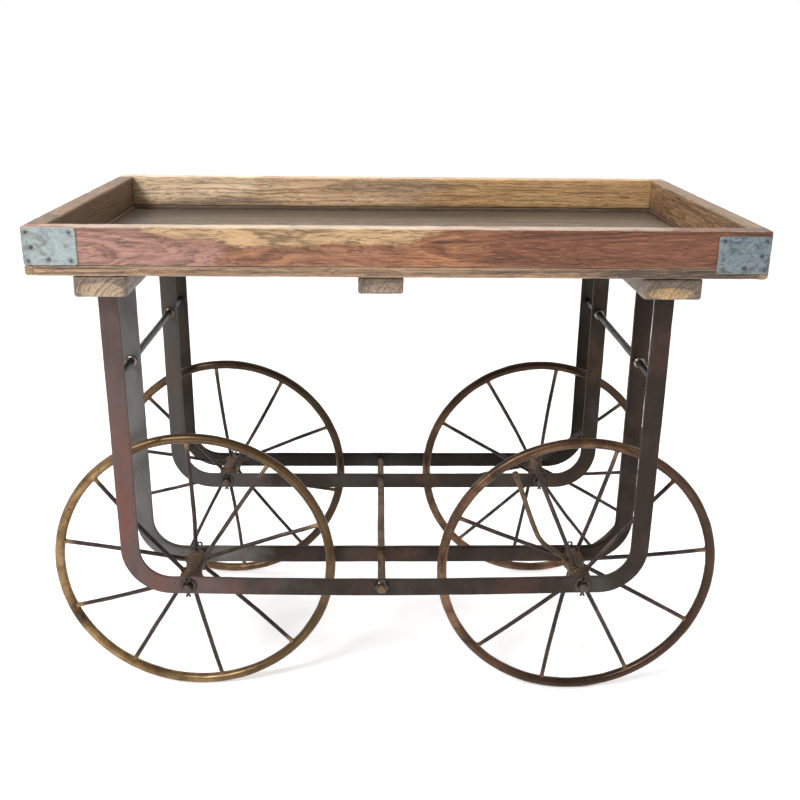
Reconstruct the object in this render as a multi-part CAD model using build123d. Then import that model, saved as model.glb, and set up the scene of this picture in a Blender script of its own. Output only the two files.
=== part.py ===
from build123d import *
import os
from math import cos, radians, sin

# A flat-topped garden and market cart: an open wooden tray on three wooden bearers,
# carried by four U-shaped flat-iron frames in two pairs. A spoked wheel turns on its
# own fixed axle in each of the four places where a pair's bottom bars hold it.
# Origin: on the ground, midway between the front wheels in X and under the tray's middle in Y.
# +X right, +Y back, +Z up. Millimetres.

# Tray
TRAY_LENGTH = 1150.0
TRAY_DEPTH = 650.0
TRAY_TOP = 895.0
TRAY_SHIFT = 17.0  # the tray sits a little to the right of the wheels
BOARD_HEIGHT = 60.0
BOARD_THICKNESS = 30.0
BASE_THICKNESS = 16.0
END_STRIP_WIDTH = 14.0  # at its notched ends
FLOOR_PLANKS = 5
FLOOR_THICKNESS = 9.0  # thinner than the strips round it, so that the tray is deeper inside
PLANK_GAP = 1.0
EDGE_ROUND = 2.0
STRIP_CORNER_ROUND = 8.0

# Bearers: name, centre in X, width, height
BEARERS = (
    ("left_bearer", -446.0, 82.0, 34.0),
    ("centre_bearer", -12.0, 71.0, 27.0),
    ("right_bearer", 446.0, 92.0, 34.0),
)
BEARER_SETBACK = 3.0
BEARER_ROUND = 4.0

# Corner plates
PLATE_WIDTH = 82.0
PLATE_HEIGHT = 59.0
PLATE_THICKNESS = 1.2
PLATE_CORNER = 5.0
LEFT_PLATE_DROP = 0.5  # below the board's top edge
RIGHT_PLATE_DROP = 8.0
PLATE_EDGE_GAP = 1.5  # plate's outer edge to the tray's end
# Nail places on a plate: (from the outer edge, down from the top edge)
PLATE_NAILS = ((7, 8), (72, 8), (7, 52), (72, 52), (13, 31), (38, 50))

# Flat-iron frames
BAR_WIDTH = 32.0
BAR_THICKNESS = 6.0
FRAME_HALF_WIDTH = 462.0
FRAME_INNER_RADIUS = 55.0
FRONT_SETBACK = 42.0  # tray's front face to the front outer frame
REAR_SETBACK = 30.0  # tray's back face to the rear outer frame
PAIR_SPACING = 117.0  # outer frame's outer face to the inner frame's
FOOT_LENGTH = 45.0

# Wheels
WHEEL_RADIUS = 256.0
RIM_ROD_RADIUS = 9.0
# The axles' places in X: the holes were drilled by hand
AXLE_X = {"front_left": -349.0, "front_right": 349.0, "rear_left": -345.0, "rear_right": 342.0}
# How far back of its hub's middle each rim stands
RIM_SET = {"front_left": 20.0, "front_right": 0.0, "rear_left": 0.0, "rear_right": 0.0}
HUB_LENGTH = 98.0
HUB_RADIUS = 16.0
COLLAR_RADIUS = 19.5
COLLAR_LENGTH = 15.0
COLLAR_OFFSET = 30.0  # each collar's middle from the hub's middle
AXLE_RADIUS = 8.0
RUNNING_CLEARANCE = 0.05
SPOKE_RADIUS = 4.0
# The wheels were spoked by hand, so the angles (degrees) are uneven
SPOKE_ANGLES = {
    "front_left": (19, 55, 91, 135, 169, 201, 238, 279, 316, 345),
    "front_right": (9, 47, 76, 113, 155, 223, 258, 297, 333),
    "rear_left": (25, 60, 95, 135, 168, 197, 243, 275, 310, 348),
    "rear_right": (41, 82, 119, 152, 190, 226, 259, 306, 332, 359),
}
# One spoke has come off the front right rim and is bent up: its points from the wheel's middle
LOOSE_SPOKE = ((-12, 18, 7), (-67, 10, 48), (-122, 0, 190))
LOOSE_SPOKE_BEND = 22.0

# Fasteners and rods
WASHER_RADIUS = 16.0
WASHER_THICKNESS = 3.0
AXLE_END = 16.0  # axle beyond the frame's face
PIN_RADIUS = 2.0
PIN_REACH_UP = 10.0
PIN_REACH_DOWN = 20.0
PIN_EYE_RADIUS = 4.0
TIE_ROD_RADIUS = 7.0
CENTRE_ROD_X = -8.0
CENTRE_ROD_END = 18.0
NUT_RADIUS = 12.5
NUT_HEIGHT = 10.0
SIDE_ROD_HEIGHT = 634.0
SIDE_ROD_RADIUS = 6.5
SIDE_COLLAR_RADIUS = 10.5
SIDE_COLLAR_LENGTH = 5.0
SCREW_RADIUS = 3.0
SCREW_LENGTH = 24.0
SCREW_HEAD_RADIUS = 6.5
SCREW_HEAD_HEIGHT = 4.0
NAIL_RADIUS = 1.3
NAIL_HEAD_RADIUS = 2.8
NAIL_HEAD_HEIGHT = 1.3
PLATE_NAIL_LENGTH = 16.0
LONG_NAIL_LENGTH = 45.0
FLOOR_NAIL_LENGTH = 18.0
NAIL_INSET = 26.0  # floor nails from each plank's edge
BASE_NAIL_COUNT = 5  # along the front and the back

# Worked-out places
TRAY_LEFT = TRAY_SHIFT - TRAY_LENGTH / 2
TRAY_RIGHT = TRAY_SHIFT + TRAY_LENGTH / 2
TRAY_FRONT = -TRAY_DEPTH / 2
BOARD_BOTTOM = TRAY_TOP - BOARD_HEIGHT
BASE_BOTTOM = BOARD_BOTTOM - BASE_THICKNESS
FRAME_TOP = BASE_BOTTOM - BEARERS[0][3]
FLOOR_TOP = BASE_BOTTOM + FLOOR_THICKNESS
FRONT_FACE = TRAY_FRONT + FRONT_SETBACK
REAR_FACE = -TRAY_FRONT - REAR_SETBACK
FRONT_OUTER_Y = FRONT_FACE + BAR_THICKNESS / 2
FRONT_INNER_Y = FRONT_OUTER_Y + PAIR_SPACING
REAR_OUTER_Y = REAR_FACE - BAR_THICKNESS / 2
REAR_INNER_Y = REAR_OUTER_Y - PAIR_SPACING
FRONT_WHEEL_Y = (FRONT_OUTER_Y + FRONT_INNER_Y) / 2
REAR_WHEEL_Y = (REAR_OUTER_Y + REAR_INNER_Y) / 2
HALF_PAIR = (PAIR_SPACING + BAR_THICKNESS) / 2  # wheel's middle to a frame's far face
HALF_GAP = HALF_PAIR - BAR_THICKNESS  # wheel's middle to a frame's near face
RIM_RADIUS = WHEEL_RADIUS - RIM_ROD_RADIUS
WHEELS = {
    "front_left": (AXLE_X["front_left"], FRONT_WHEEL_Y),
    "front_right": (AXLE_X["front_right"], FRONT_WHEEL_Y),
    "rear_left": (AXLE_X["rear_left"], REAR_WHEEL_Y),
    "rear_right": (AXLE_X["rear_right"], REAR_WHEEL_Y),
}
# Each frame's middle in Y, and the side that its feet turn to
FRAMES = {
    "front_outer_frame": (FRONT_OUTER_Y, 1),
    "front_inner_frame": (FRONT_INNER_Y, -1),
    "rear_inner_frame": (REAR_INNER_Y, 1),
    "rear_outer_frame": (REAR_OUTER_Y, -1),
}


def block(x_low, x_high, y_low, y_high, z_low, z_high):
    """A box between two corners."""
    size = (x_high - x_low, y_high - y_low, z_high - z_low)
    middle = ((x_low + x_high) / 2, (y_low + y_high) / 2, (z_low + z_high) / 2)
    return Pos(*middle) * Box(*size)


def rod(start, end, radius):
    """A round rod between two points."""
    line = Vector(*end) - Vector(*start)
    return extrude(Plane(origin=start, z_dir=line) * Circle(radius), amount=line.length)


def rounded_along(solid, axis, radius):
    """A board with its long edges rounded."""
    return fillet(solid.edges().filter_by(axis), radius)


def ring(centre_y, x, z, outer, inner, length):
    """A ring or washer about an axis along Y."""
    face = Circle(outer) - Circle(inner)
    return Pos(x, centre_y, z) * extrude(Plane.XZ * face, amount=length / 2, both=True)


def nail(point, direction, length, proud):
    """A nail whose head stands proud of a face at the point; direction leads out of it."""
    plane = Plane(origin=point, z_dir=direction)
    shank = extrude(plane.offset(-length) * Circle(NAIL_RADIUS), amount=length)
    head_plane = plane if proud else plane.offset(-NAIL_HEAD_HEIGHT)
    head = extrude(head_plane * Circle(NAIL_HEAD_RADIUS), amount=NAIL_HEAD_HEIGHT)
    return shank + head


def tray_boards():
    """Front and back boards run the full length; the end boards fit between them."""
    back = -TRAY_FRONT
    inner = TRAY_FRONT + BOARD_THICKNESS
    levels = (BOARD_BOTTOM, TRAY_TOP)
    front = block(TRAY_LEFT, TRAY_RIGHT, TRAY_FRONT, inner, *levels)
    rear = block(TRAY_LEFT, TRAY_RIGHT, -inner, back, *levels)
    left = block(TRAY_LEFT, TRAY_LEFT + BOARD_THICKNESS, inner, -inner, *levels)
    right = block(TRAY_RIGHT - BOARD_THICKNESS, TRAY_RIGHT, inner, -inner, *levels)
    return {
        "front_board": rounded_along(front, Axis.X, EDGE_ROUND),
        "back_board": rounded_along(rear, Axis.X, EDGE_ROUND),
        "left_end_board": rounded_along(left, Axis.Y, EDGE_ROUND),
        "right_end_board": rounded_along(right, Axis.Y, EDGE_ROUND),
    }


def base_strips():
    """The edge of the base layer under the boards, flush with their outer faces.
    The end strips are as wide as the end boards, and notched for the front and back strips."""
    levels = (BASE_BOTTOM, BOARD_BOTTOM)
    inner = TRAY_FRONT + BOARD_THICKNESS
    left_inner = TRAY_LEFT + END_STRIP_WIDTH
    right_inner = TRAY_RIGHT - END_STRIP_WIDTH
    left = block(TRAY_LEFT, left_inner, TRAY_FRONT, -TRAY_FRONT, *levels)
    left += block(TRAY_LEFT, TRAY_LEFT + BOARD_THICKNESS, inner, -inner, *levels)
    right = block(right_inner, TRAY_RIGHT, TRAY_FRONT, -TRAY_FRONT, *levels)
    right += block(TRAY_RIGHT - BOARD_THICKNESS, TRAY_RIGHT, inner, -inner, *levels)
    left_edge = left.edges().filter_by(Axis.Y).group_by(Axis.Z)[0].sort_by(Axis.X)[0]
    right_edge = right.edges().filter_by(Axis.Y).group_by(Axis.Z)[0].sort_by(Axis.X)[-1]
    return {
        "front_base_strip": block(left_inner, right_inner, TRAY_FRONT, inner, *levels),
        "back_base_strip": block(left_inner, right_inner, -inner, -TRAY_FRONT, *levels),
        "left_base_strip": fillet(left_edge, STRIP_CORNER_ROUND),
        "right_base_strip": fillet(right_edge, STRIP_CORNER_ROUND),
    }


def plank_edges():
    """The low and high Y of each floor plank."""
    span = TRAY_DEPTH - 2 * BOARD_THICKNESS
    pitch = span / FLOOR_PLANKS
    first = -span / 2
    lows = [first + i * pitch + PLANK_GAP / 2 for i in range(FLOOR_PLANKS)]
    return [(low, low + pitch - PLANK_GAP) for low in lows]


def floor_planks():
    """The floor, in planks between the end boards."""
    ends = (TRAY_LEFT + BOARD_THICKNESS, TRAY_RIGHT - BOARD_THICKNESS)
    planks = {}
    for number, (low, high) in enumerate(plank_edges(), start=1):
        planks[f"floor_plank_{number}"] = block(*ends, low, high, BASE_BOTTOM, FLOOR_TOP)
    return planks


def bearers():
    """Three bearers from front to back under the base."""
    made = {}
    reach = TRAY_DEPTH / 2 - BEARER_SETBACK
    for name, x, width, height in BEARERS:
        bearer = block(x - width / 2, x + width / 2, -reach, reach, BASE_BOTTOM - height, BASE_BOTTOM)
        lower = bearer.edges().filter_by(Axis.Y).group_by(Axis.Z)[0]
        made[name] = fillet(lower, BEARER_ROUND)
    return made


def plate_places():
    """For each corner plate: its name, outer edge in X, side, top edge in Z and face."""
    left = TRAY_LEFT + PLATE_EDGE_GAP
    right = TRAY_RIGHT - PLATE_EDGE_GAP
    left_top = TRAY_TOP - LEFT_PLATE_DROP
    right_top = TRAY_TOP - RIGHT_PLATE_DROP
    return (
        ("front_left_corner_plate", left, 1, left_top, -1),
        ("front_right_corner_plate", right, -1, right_top, -1),
        ("back_left_corner_plate", left, 1, left_top, 1),
        ("back_right_corner_plate", right, -1, right_top, 1),
    )


def corner_plates():
    """Thin zinc plates nailed over the board ends."""
    plates = {}
    for name, edge, side, top, face in plate_places():
        outline = RectangleRounded(PLATE_WIDTH, PLATE_HEIGHT, PLATE_CORNER)
        sheet = extrude(Plane.XZ * outline, amount=PLATE_THICKNESS / 2, both=True)
        y = face * (TRAY_DEPTH / 2 + PLATE_THICKNESS / 2)
        plates[name] = Pos(edge + side * PLATE_WIDTH / 2, y, top - PLATE_HEIGHT / 2) * sheet
    return plates


def plate_nails():
    """The nails through the corner plates."""
    nails = []
    for _, edge, side, top, face in plate_places():
        y = face * (TRAY_DEPTH / 2 + PLATE_THICKNESS)
        for across, down in PLATE_NAILS:
            point = (edge + side * across, y, top - down)
            nails.append(nail(point, (0, face, 0), PLATE_NAIL_LENGTH, True))
    return nails


def board_nails():
    """Two nails at each corner, through the front and back boards into the end boards."""
    nails = []
    for x in (TRAY_LEFT + BOARD_THICKNESS / 2, TRAY_RIGHT - BOARD_THICKNESS / 2):
        for face in (-1, 1):
            for part in (0.25, 0.6):
                point = (x, face * TRAY_DEPTH / 2, BOARD_BOTTOM + part * BOARD_HEIGHT)
                nails.append(nail(point, (0, face, 0), LONG_NAIL_LENGTH, False))
    return nails


def floor_nails():
    """Two nails in each plank over each bearer, driven flush from above."""
    nails = []
    for _, x, _, _ in BEARERS:
        for low, high in plank_edges():
            for y in (low + NAIL_INSET, high - NAIL_INSET):
                nails.append(nail((x, y, FLOOR_TOP), (0, 0, 1), FLOOR_NAIL_LENGTH, False))
    return nails


def base_nails():
    """Nails driven up through the base strips into the front and back boards."""
    nails = []
    pitch = TRAY_LENGTH / BASE_NAIL_COUNT
    y = TRAY_DEPTH / 2 - BOARD_THICKNESS / 2
    for i in range(BASE_NAIL_COUNT):
        x = TRAY_LEFT + pitch * (i + 0.35)
        for side in (-1, 1):
            nails.append(nail((x, side * y, BASE_BOTTOM), (0, 0, -1), LONG_NAIL_LENGTH, False))
    return nails


def u_outline(half_width, bottom, radius):
    """The area inside a U with round bottom corners and an open top."""
    left, right = -half_width, half_width
    with BuildSketch() as sketch:
        with BuildLine():
            points = ((left, FRAME_TOP), (left, bottom), (right, bottom), (right, FRAME_TOP))
            FilletPolyline(*points, radius=radius)
            Line((right, FRAME_TOP), (left, FRAME_TOP))
        make_face()
    return sketch.sketch


def u_frame(y, foot_side):
    """A flat bar bent to a U, with a foot at each top end to take a screw."""
    bottom = WHEEL_RADIUS - BAR_WIDTH / 2
    outer = u_outline(FRAME_HALF_WIDTH, bottom, FRAME_INNER_RADIUS + BAR_WIDTH)
    inner = u_outline(FRAME_HALF_WIDTH - BAR_WIDTH, bottom + BAR_WIDTH, FRAME_INNER_RADIUS)
    frame = Pos(0, y, 0) * extrude(Plane.XZ * (outer - inner), amount=BAR_THICKNESS / 2, both=True)
    for x in leg_centres():
        foot = Box(BAR_WIDTH, FOOT_LENGTH, BAR_THICKNESS)
        frame += Pos(x, y + foot_side * foot_middle(), FRAME_TOP - BAR_THICKNESS / 2) * foot
    return frame


def leg_centres():
    """The X of each leg's middle."""
    centre = FRAME_HALF_WIDTH - BAR_WIDTH / 2
    return (-centre, centre)


def foot_middle():
    """From a frame's middle plane to the middle of its foot."""
    return (FOOT_LENGTH - BAR_THICKNESS) / 2


def frames():
    """Four frames, in two pairs, with their feet turned towards each other."""
    return {name: u_frame(y, foot_side) for name, (y, foot_side) in FRAMES.items()}


def foot_screws():
    """A coach screw through each foot into the bearer above it."""
    screws = []
    for y, foot_side in FRAMES.values():
        for x in leg_centres():
            plane = Plane((x, y + foot_side * foot_middle(), FRAME_TOP - BAR_THICKNESS))
            shank = extrude(plane * Circle(SCREW_RADIUS), amount=SCREW_LENGTH + BAR_THICKNESS)
            head = extrude(plane * RegularPolygon(SCREW_HEAD_RADIUS, 6), amount=-SCREW_HEAD_HEIGHT)
            screws.append(shank + head)
    return screws


def centre_tie_rod():
    """The rod through the middle of all four bottom bars, with rounded ends."""
    front = (CENTRE_ROD_X, FRONT_FACE - CENTRE_ROD_END, WHEEL_RADIUS)
    rear = (CENTRE_ROD_X, REAR_FACE + CENTRE_ROD_END, WHEEL_RADIUS)
    tie = rod(front, rear, TIE_ROD_RADIUS)
    ends = tie.edges().filter_by(GeomType.CIRCLE)
    return fillet(ends, TIE_ROD_RADIUS * 0.4)


def centre_rod_nuts():
    """A nut on each end of the centre rod."""
    nuts = []
    hexagon = RegularPolygon(NUT_RADIUS, 6) - Circle(TIE_ROD_RADIUS)
    for y in (FRONT_FACE - NUT_HEIGHT / 2, REAR_FACE + NUT_HEIGHT / 2):
        nut = extrude(Plane.XZ * hexagon, amount=NUT_HEIGHT / 2, both=True)
        nuts.append(Pos(CENTRE_ROD_X, y, WHEEL_RADIUS) * nut)
    return nuts


def side_tie_rod(x):
    """A rod through the inner frames' legs, welded to the insides of the outer frames."""
    front = (x, FRONT_FACE + BAR_THICKNESS, SIDE_ROD_HEIGHT)
    rear = (x, REAR_FACE - BAR_THICKNESS, SIDE_ROD_HEIGHT)
    return rod(front, rear, SIDE_ROD_RADIUS)


def side_rod_collars():
    """A collar on each side rod against the front of each inner frame."""
    collars = []
    for x in leg_centres():
        for frame_y in (FRONT_INNER_Y, REAR_INNER_Y):
            y = frame_y - (BAR_THICKNESS + SIDE_COLLAR_LENGTH) / 2
            shape = (SIDE_COLLAR_RADIUS, SIDE_ROD_RADIUS, SIDE_COLLAR_LENGTH)
            collars.append(ring(y, x, SIDE_ROD_HEIGHT, *shape))
    return collars


def axle(x, y):
    """A fixed axle through a pair of bottom bars."""
    reach = HALF_PAIR + AXLE_END
    shaft = rod((x, y - reach, WHEEL_RADIUS), (x, y + reach, WHEEL_RADIUS), AXLE_RADIUS)
    return fillet(shaft.edges().filter_by(GeomType.CIRCLE), 2.0)


def washers(offset):
    """Washers round every axle, this far each way from the wheel's middle."""
    made = []
    for x, y in WHEELS.values():
        for side in (-1, 1):
            shape = (WASHER_RADIUS, AXLE_RADIUS, WASHER_THICKNESS)
            made.append(ring(y + side * offset, x, WHEEL_RADIUS, *shape))
    return made


def split_pins():
    """A pin through each end of each axle, with an eye on top."""
    pins = []
    offset = HALF_PAIR + WASHER_THICKNESS + PIN_RADIUS
    for x, y in WHEELS.values():
        for side in (-1, 1):
            pin_y = y + side * offset
            top = (x, pin_y, WHEEL_RADIUS + PIN_REACH_UP)
            leg = rod(top, (x, pin_y, WHEEL_RADIUS - PIN_REACH_DOWN), PIN_RADIUS)
            eye = Plane(origin=(x, pin_y, top[2] + PIN_EYE_RADIUS), z_dir=(0, 1, 0))
            pins.append(leg + eye * Torus(PIN_EYE_RADIUS, PIN_RADIUS * 0.7))
    return pins


def hub(x, y):
    """A hub tube with two welded-on collars that take the spokes."""
    body = ring(y, x, WHEEL_RADIUS, HUB_RADIUS, AXLE_RADIUS + RUNNING_CLEARANCE, HUB_LENGTH)
    for side in (-1, 1):
        collar_y = y + side * COLLAR_OFFSET
        body += ring(collar_y, x, WHEEL_RADIUS, COLLAR_RADIUS, HUB_RADIUS, COLLAR_LENGTH)
    return body


def rim(x, y):
    """A round rod bent to a ring."""
    return Plane(origin=(x, y, WHEEL_RADIUS), z_dir=(0, 1, 0)) * Torus(RIM_RADIUS, RIM_ROD_RADIUS)


def spokes(name, x, y, hub_body, rim_body):
    """Rods from the two collars in turn to the rim."""
    inside = (HUB_RADIUS + AXLE_RADIUS) / 2
    made = []
    for number, angle in enumerate(SPOKE_ANGLES[name]):
        across, up = cos(radians(angle)), sin(radians(angle))
        collar_y = y + COLLAR_OFFSET * (-1) ** number
        start = (x + inside * across, collar_y, WHEEL_RADIUS + inside * up)
        end = (x + RIM_RADIUS * across, y + RIM_SET[name], WHEEL_RADIUS + RIM_RADIUS * up)
        made.append(rod(start, end, SPOKE_RADIUS) - hub_body - rim_body)
    return made


def loose_spoke(x, y, hub_body):
    """The spoke that has come off the rim: one bend, and its end in the air."""
    points = [(x + a, y + b, WHEEL_RADIUS + c) for a, b, c in LOOSE_SPOKE]
    path = FilletPolyline(*points, radius=LOOSE_SPOKE_BEND)
    section = Plane(origin=points[0], z_dir=path % 0) * Circle(SPOKE_RADIUS)
    return sweep(section, path=path) - hub_body


def wheel(name, x, y):
    """Hub, rim and spokes of one wheel."""
    hub_body = hub(x, y)
    rim_body = rim(x, y + RIM_SET[name])
    nodes = {f"{name}_hub": hub_body, f"{name}_rim": rim_body}
    nodes[f"{name}_spokes"] = spokes(name, x, y, hub_body, rim_body)
    if name == "front_right":
        nodes["front_right_loose_spoke"] = loose_spoke(x, y, hub_body)
    return nodes


def without(solid, cutters):
    """The solid with holes for those cutters that could reach it."""
    reach = solid.bounding_box()
    for cutter in cutters:
        box = cutter.bounding_box()
        apart = (
            box.min.X > reach.max.X or box.max.X < reach.min.X
            or box.min.Y > reach.max.Y or box.max.Y < reach.min.Y
            or box.min.Z > reach.max.Z or box.max.Z < reach.min.Z
        )
        if not apart:
            solid = solid - cutter
    return solid


def build():
    """Every node of the cart by name: one solid, or a list of separate solids."""
    groups = {
        "plate_nails": plate_nails(),
        "board_nails": board_nails(),
        "floor_nails": floor_nails(),
        "base_nails": base_nails(),
        "foot_screws": foot_screws(),
    }
    fixings = [solid for group in groups.values() for solid in group]
    wood = {**tray_boards(), **base_strips(), **floor_planks(), **bearers()}
    nodes = {name: without(solid, fixings) for name, solid in wood.items()}
    for name, solid in corner_plates().items():
        nodes[name] = without(solid, fixings)

    rods = {"centre_tie_rod": centre_tie_rod()}
    for name, x in zip(("left_tie_rod", "right_tie_rod"), leg_centres()):
        rods[name] = side_tie_rod(x)
    pins = split_pins()
    axles = {f"{name}_axle": axle(x, y) for name, (x, y) in WHEELS.items()}
    through = [*rods.values(), *axles.values(), *groups["foot_screws"]]
    for name, solid in frames().items():
        nodes[name] = without(solid, through)
    nodes.update(rods)
    for name, solid in axles.items():
        nodes[name] = without(solid, pins)
    for name, (x, y) in WHEELS.items():
        nodes.update(wheel(name, x, y))
    nodes.update(groups)
    nodes["centre_rod_nuts"] = centre_rod_nuts()
    nodes["side_rod_collars"] = side_rod_collars()
    nodes["axle_washers"] = washers(HALF_PAIR + WASHER_THICKNESS / 2)
    nodes["hub_washers"] = washers(HALF_GAP - WASHER_THICKNESS / 2)
    nodes["split_pins"] = pins
    return nodes


def write(nodes):
    """One STEP file for each node."""
    os.makedirs("parts", exist_ok=True)
    for name, shape in nodes.items():
        if isinstance(shape, list):
            shape = Compound(children=shape)
        shape.label = name
        export_step(shape, f"parts/{name}.step")


write(build())
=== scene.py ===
import math

import bmesh
import bpy
import numpy as np
from mathutils import Matrix, Vector


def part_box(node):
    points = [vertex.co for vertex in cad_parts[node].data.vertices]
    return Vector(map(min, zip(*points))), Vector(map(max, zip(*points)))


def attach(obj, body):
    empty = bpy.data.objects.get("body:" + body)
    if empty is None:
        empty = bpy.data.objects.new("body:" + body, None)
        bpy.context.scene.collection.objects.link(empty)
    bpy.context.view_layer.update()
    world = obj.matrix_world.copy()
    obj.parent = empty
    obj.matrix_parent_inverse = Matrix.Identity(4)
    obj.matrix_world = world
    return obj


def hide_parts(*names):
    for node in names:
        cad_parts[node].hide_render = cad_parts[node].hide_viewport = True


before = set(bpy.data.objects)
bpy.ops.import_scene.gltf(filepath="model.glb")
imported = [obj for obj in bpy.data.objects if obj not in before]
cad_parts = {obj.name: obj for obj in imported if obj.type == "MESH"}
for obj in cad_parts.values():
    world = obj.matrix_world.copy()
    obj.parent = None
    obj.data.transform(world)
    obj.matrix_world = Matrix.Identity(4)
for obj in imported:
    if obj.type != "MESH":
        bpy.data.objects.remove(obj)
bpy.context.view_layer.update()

MM = 0.001
SCENE = bpy.context.scene
WHEEL_NAMES = ("front_left", "front_right", "rear_left", "rear_right")
FRAME_NAMES = ("front_outer_frame", "front_inner_frame", "rear_inner_frame", "rear_outer_frame")
CART = "cart"

# ------------------------------------------------------------------ numbers from the frame


def box(node):
    """A node's lowest and highest corners as arrays."""
    low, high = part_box(node)
    return np.array(low), np.array(high)


def middle(node):
    low, high = box(node)
    return (low + high) / 2


# ------------------------------------------------------------------ noise for shapes


def lattice(cell, seed):
    """A fixed pseudo-random number from -1 to 1 for each whole-number cell."""
    x, y, z = (cell[:, i].astype(np.uint64) for i in range(3))
    mixed = x * np.uint64(374761393) + y * np.uint64(668265263) + z * np.uint64(2246822519)
    mixed = (mixed + np.uint64(seed * 3266489917)) & np.uint64(0xFFFFFFFF)
    mixed = ((mixed ^ (mixed >> np.uint64(13))) * np.uint64(1274126177)) & np.uint64(0xFFFFFFFF)
    return ((mixed ^ (mixed >> np.uint64(16))) & np.uint64(0xFFFF)).astype(float) / 32767.5 - 1


def bumps(points, per_metre, seed=0):
    """Smooth noise from -1 to 1; per_metre is one frequency or one for each axis."""
    scaled = points * np.asarray(per_metre, float) + 1000
    cell = np.floor(scaled).astype(np.int64)
    part = scaled - cell
    part = part * part * (3 - 2 * part)
    total = np.zeros(len(points))
    for corner in np.ndindex(2, 2, 2):
        weight = np.prod(np.where(np.array(corner) == 1, part, 1 - part), axis=1)
        total += weight * lattice(cell + np.array(corner), seed)
    return total


# ------------------------------------------------------------------ mesh building


def make_object(name, parts, smooth=True):
    """One mesh object from a list of (points, faces)."""
    points, faces, start = [], [], 0
    for part_points, part_faces in parts:
        points.append(np.asarray(part_points))
        faces += [tuple(i + start for i in face) for face in part_faces]
        start += len(part_points)
    mesh = bpy.data.meshes.new(name)
    mesh.from_pydata(np.concatenate(points).tolist(), [], faces)
    solid = bmesh.new()
    solid.from_mesh(mesh)
    bmesh.ops.recalc_face_normals(solid, faces=solid.faces)
    solid.to_mesh(mesh)
    solid.free()
    for polygon in mesh.polygons:
        polygon.use_smooth = smooth
    made = bpy.data.objects.new(name, mesh)
    SCENE.collection.objects.link(made)
    return made


def points_of(piece):
    co = np.empty(len(piece.data.vertices) * 3)
    piece.data.vertices.foreach_get("co", co)
    return co.reshape(-1, 3)


def move_to(piece, points):
    piece.data.vertices.foreach_set("co", points.ravel())
    piece.data.update()


def push(piece, amounts):
    """Moves each point along its normal."""
    normals = np.empty(len(piece.data.vertices) * 3)
    piece.data.vertices.foreach_get("normal", normals)
    move_to(piece, points_of(piece) + normals.reshape(-1, 3) * np.asarray(amounts)[:, None])


def give(piece, name, values):
    """Stores one number at each point, or the same one at all, for the piece's material."""
    layer = piece.data.attributes.new(name, "FLOAT", "POINT")
    values = np.broadcast_to(values, len(piece.data.vertices))
    layer.data.foreach_set("value", np.array(values, np.float32))


def loft(rings, closed=False):
    """Faces between rings of points; open ends are capped."""
    rings = np.asarray(rings)
    count, size = rings.shape[:2]
    faces = []
    for i in range(count if closed else count - 1):
        j = (i + 1) % count
        for k in range(size):
            m = (k + 1) % size
            faces.append((i * size + k, i * size + m, j * size + m, j * size + k))
    if not closed:
        faces.append(tuple(range(size)))
        faces.append(tuple((count - 1) * size + k for k in range(size)))
    return rings.reshape(-1, 3), faces


def rounded_section(half_a, half_b, radius, step, corner_points=4):
    """Points round a rectangle with round corners, in its own plane."""
    points = []
    flat_a, flat_b = half_a - radius, half_b - radius
    sides_a = max(2, round(2 * flat_a / step))
    sides_b = max(2, round(2 * flat_b / step))
    corners = ((1, 1, 0), (-1, 1, 90), (-1, -1, 180), (1, -1, 270))
    for number, (sign_a, sign_b, turn) in enumerate(corners):
        for i in range(corner_points):
            angle = math.radians(turn + 90 * i / (corner_points - 1))
            across = sign_a * flat_a + radius * math.cos(angle)
            points.append((across, sign_b * flat_b + radius * math.sin(angle)))
        sides = sides_a if number % 2 == 0 else sides_b
        next_a, next_b, _ = corners[(number + 1) % 4]
        ends = []
        for a, b, turned in ((sign_a, sign_b, turn + 90), (next_a, next_b, turn + 90)):
            angle = math.radians(turned)
            ends.append((a * flat_a + radius * math.cos(angle), b * flat_b + radius * math.sin(angle)))
        for i in range(1, sides):
            part = i / sides
            points.append(tuple(ends[0][c] + part * (ends[1][c] - ends[0][c]) for c in (0, 1)))
    return np.array(points)


def block_rings(low, high, axis, radius, step, section_step):
    """Rings along a block with rounded edges; the ends are closed in by smaller rings."""
    others = [i for i in range(3) if i != axis]
    half = (high - low) / 2
    centre = (high + low) / 2
    stations = []
    for turn in (0, 30, 60, 90):
        angle = math.radians(turn)
        stations.append((low[axis] + radius * (1 - math.sin(angle)), radius * (1 - math.cos(angle))))
    stations = stations[::-1]
    length = high[axis] - low[axis] - 2 * radius
    count = max(2, round(length / step))
    for i in range(1, count):
        stations.append((low[axis] + radius + length * i / count, 0.0))
    mirrored = [(low[axis] + high[axis] - along, inset) for along, inset in stations[:4]]
    stations += mirrored[::-1]
    rings = []

    def ring(along, inset, shrink):
        section = rounded_section(half[others[0]], half[others[1]], radius, section_step)
        size = np.array([half[others[0]], half[others[1]]])
        section = section * (size - inset) / size * shrink
        points = np.zeros((len(section), 3))
        points[:, axis] = along
        points[:, others[0]] = centre[others[0]] + section[:, 0]
        points[:, others[1]] = centre[others[1]] + section[:, 1]
        return points

    for shrink in (0.1, 0.4, 0.7):
        rings.append(ring(*stations[0], shrink))
    for along, inset in stations:
        rings.append(ring(along, inset, 1.0))
    for shrink in (0.7, 0.4, 0.1):
        rings.append(ring(*stations[-1], shrink))
    return rings


def edge_nearness(points, low, high, reach):
    """1 on a block's edges, falling to 0 over about the reach."""
    gaps = np.sort(np.minimum(np.abs(points - low), np.abs(high - points)), axis=1)
    return np.exp(-gaps[:, 1] / reach)


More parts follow.
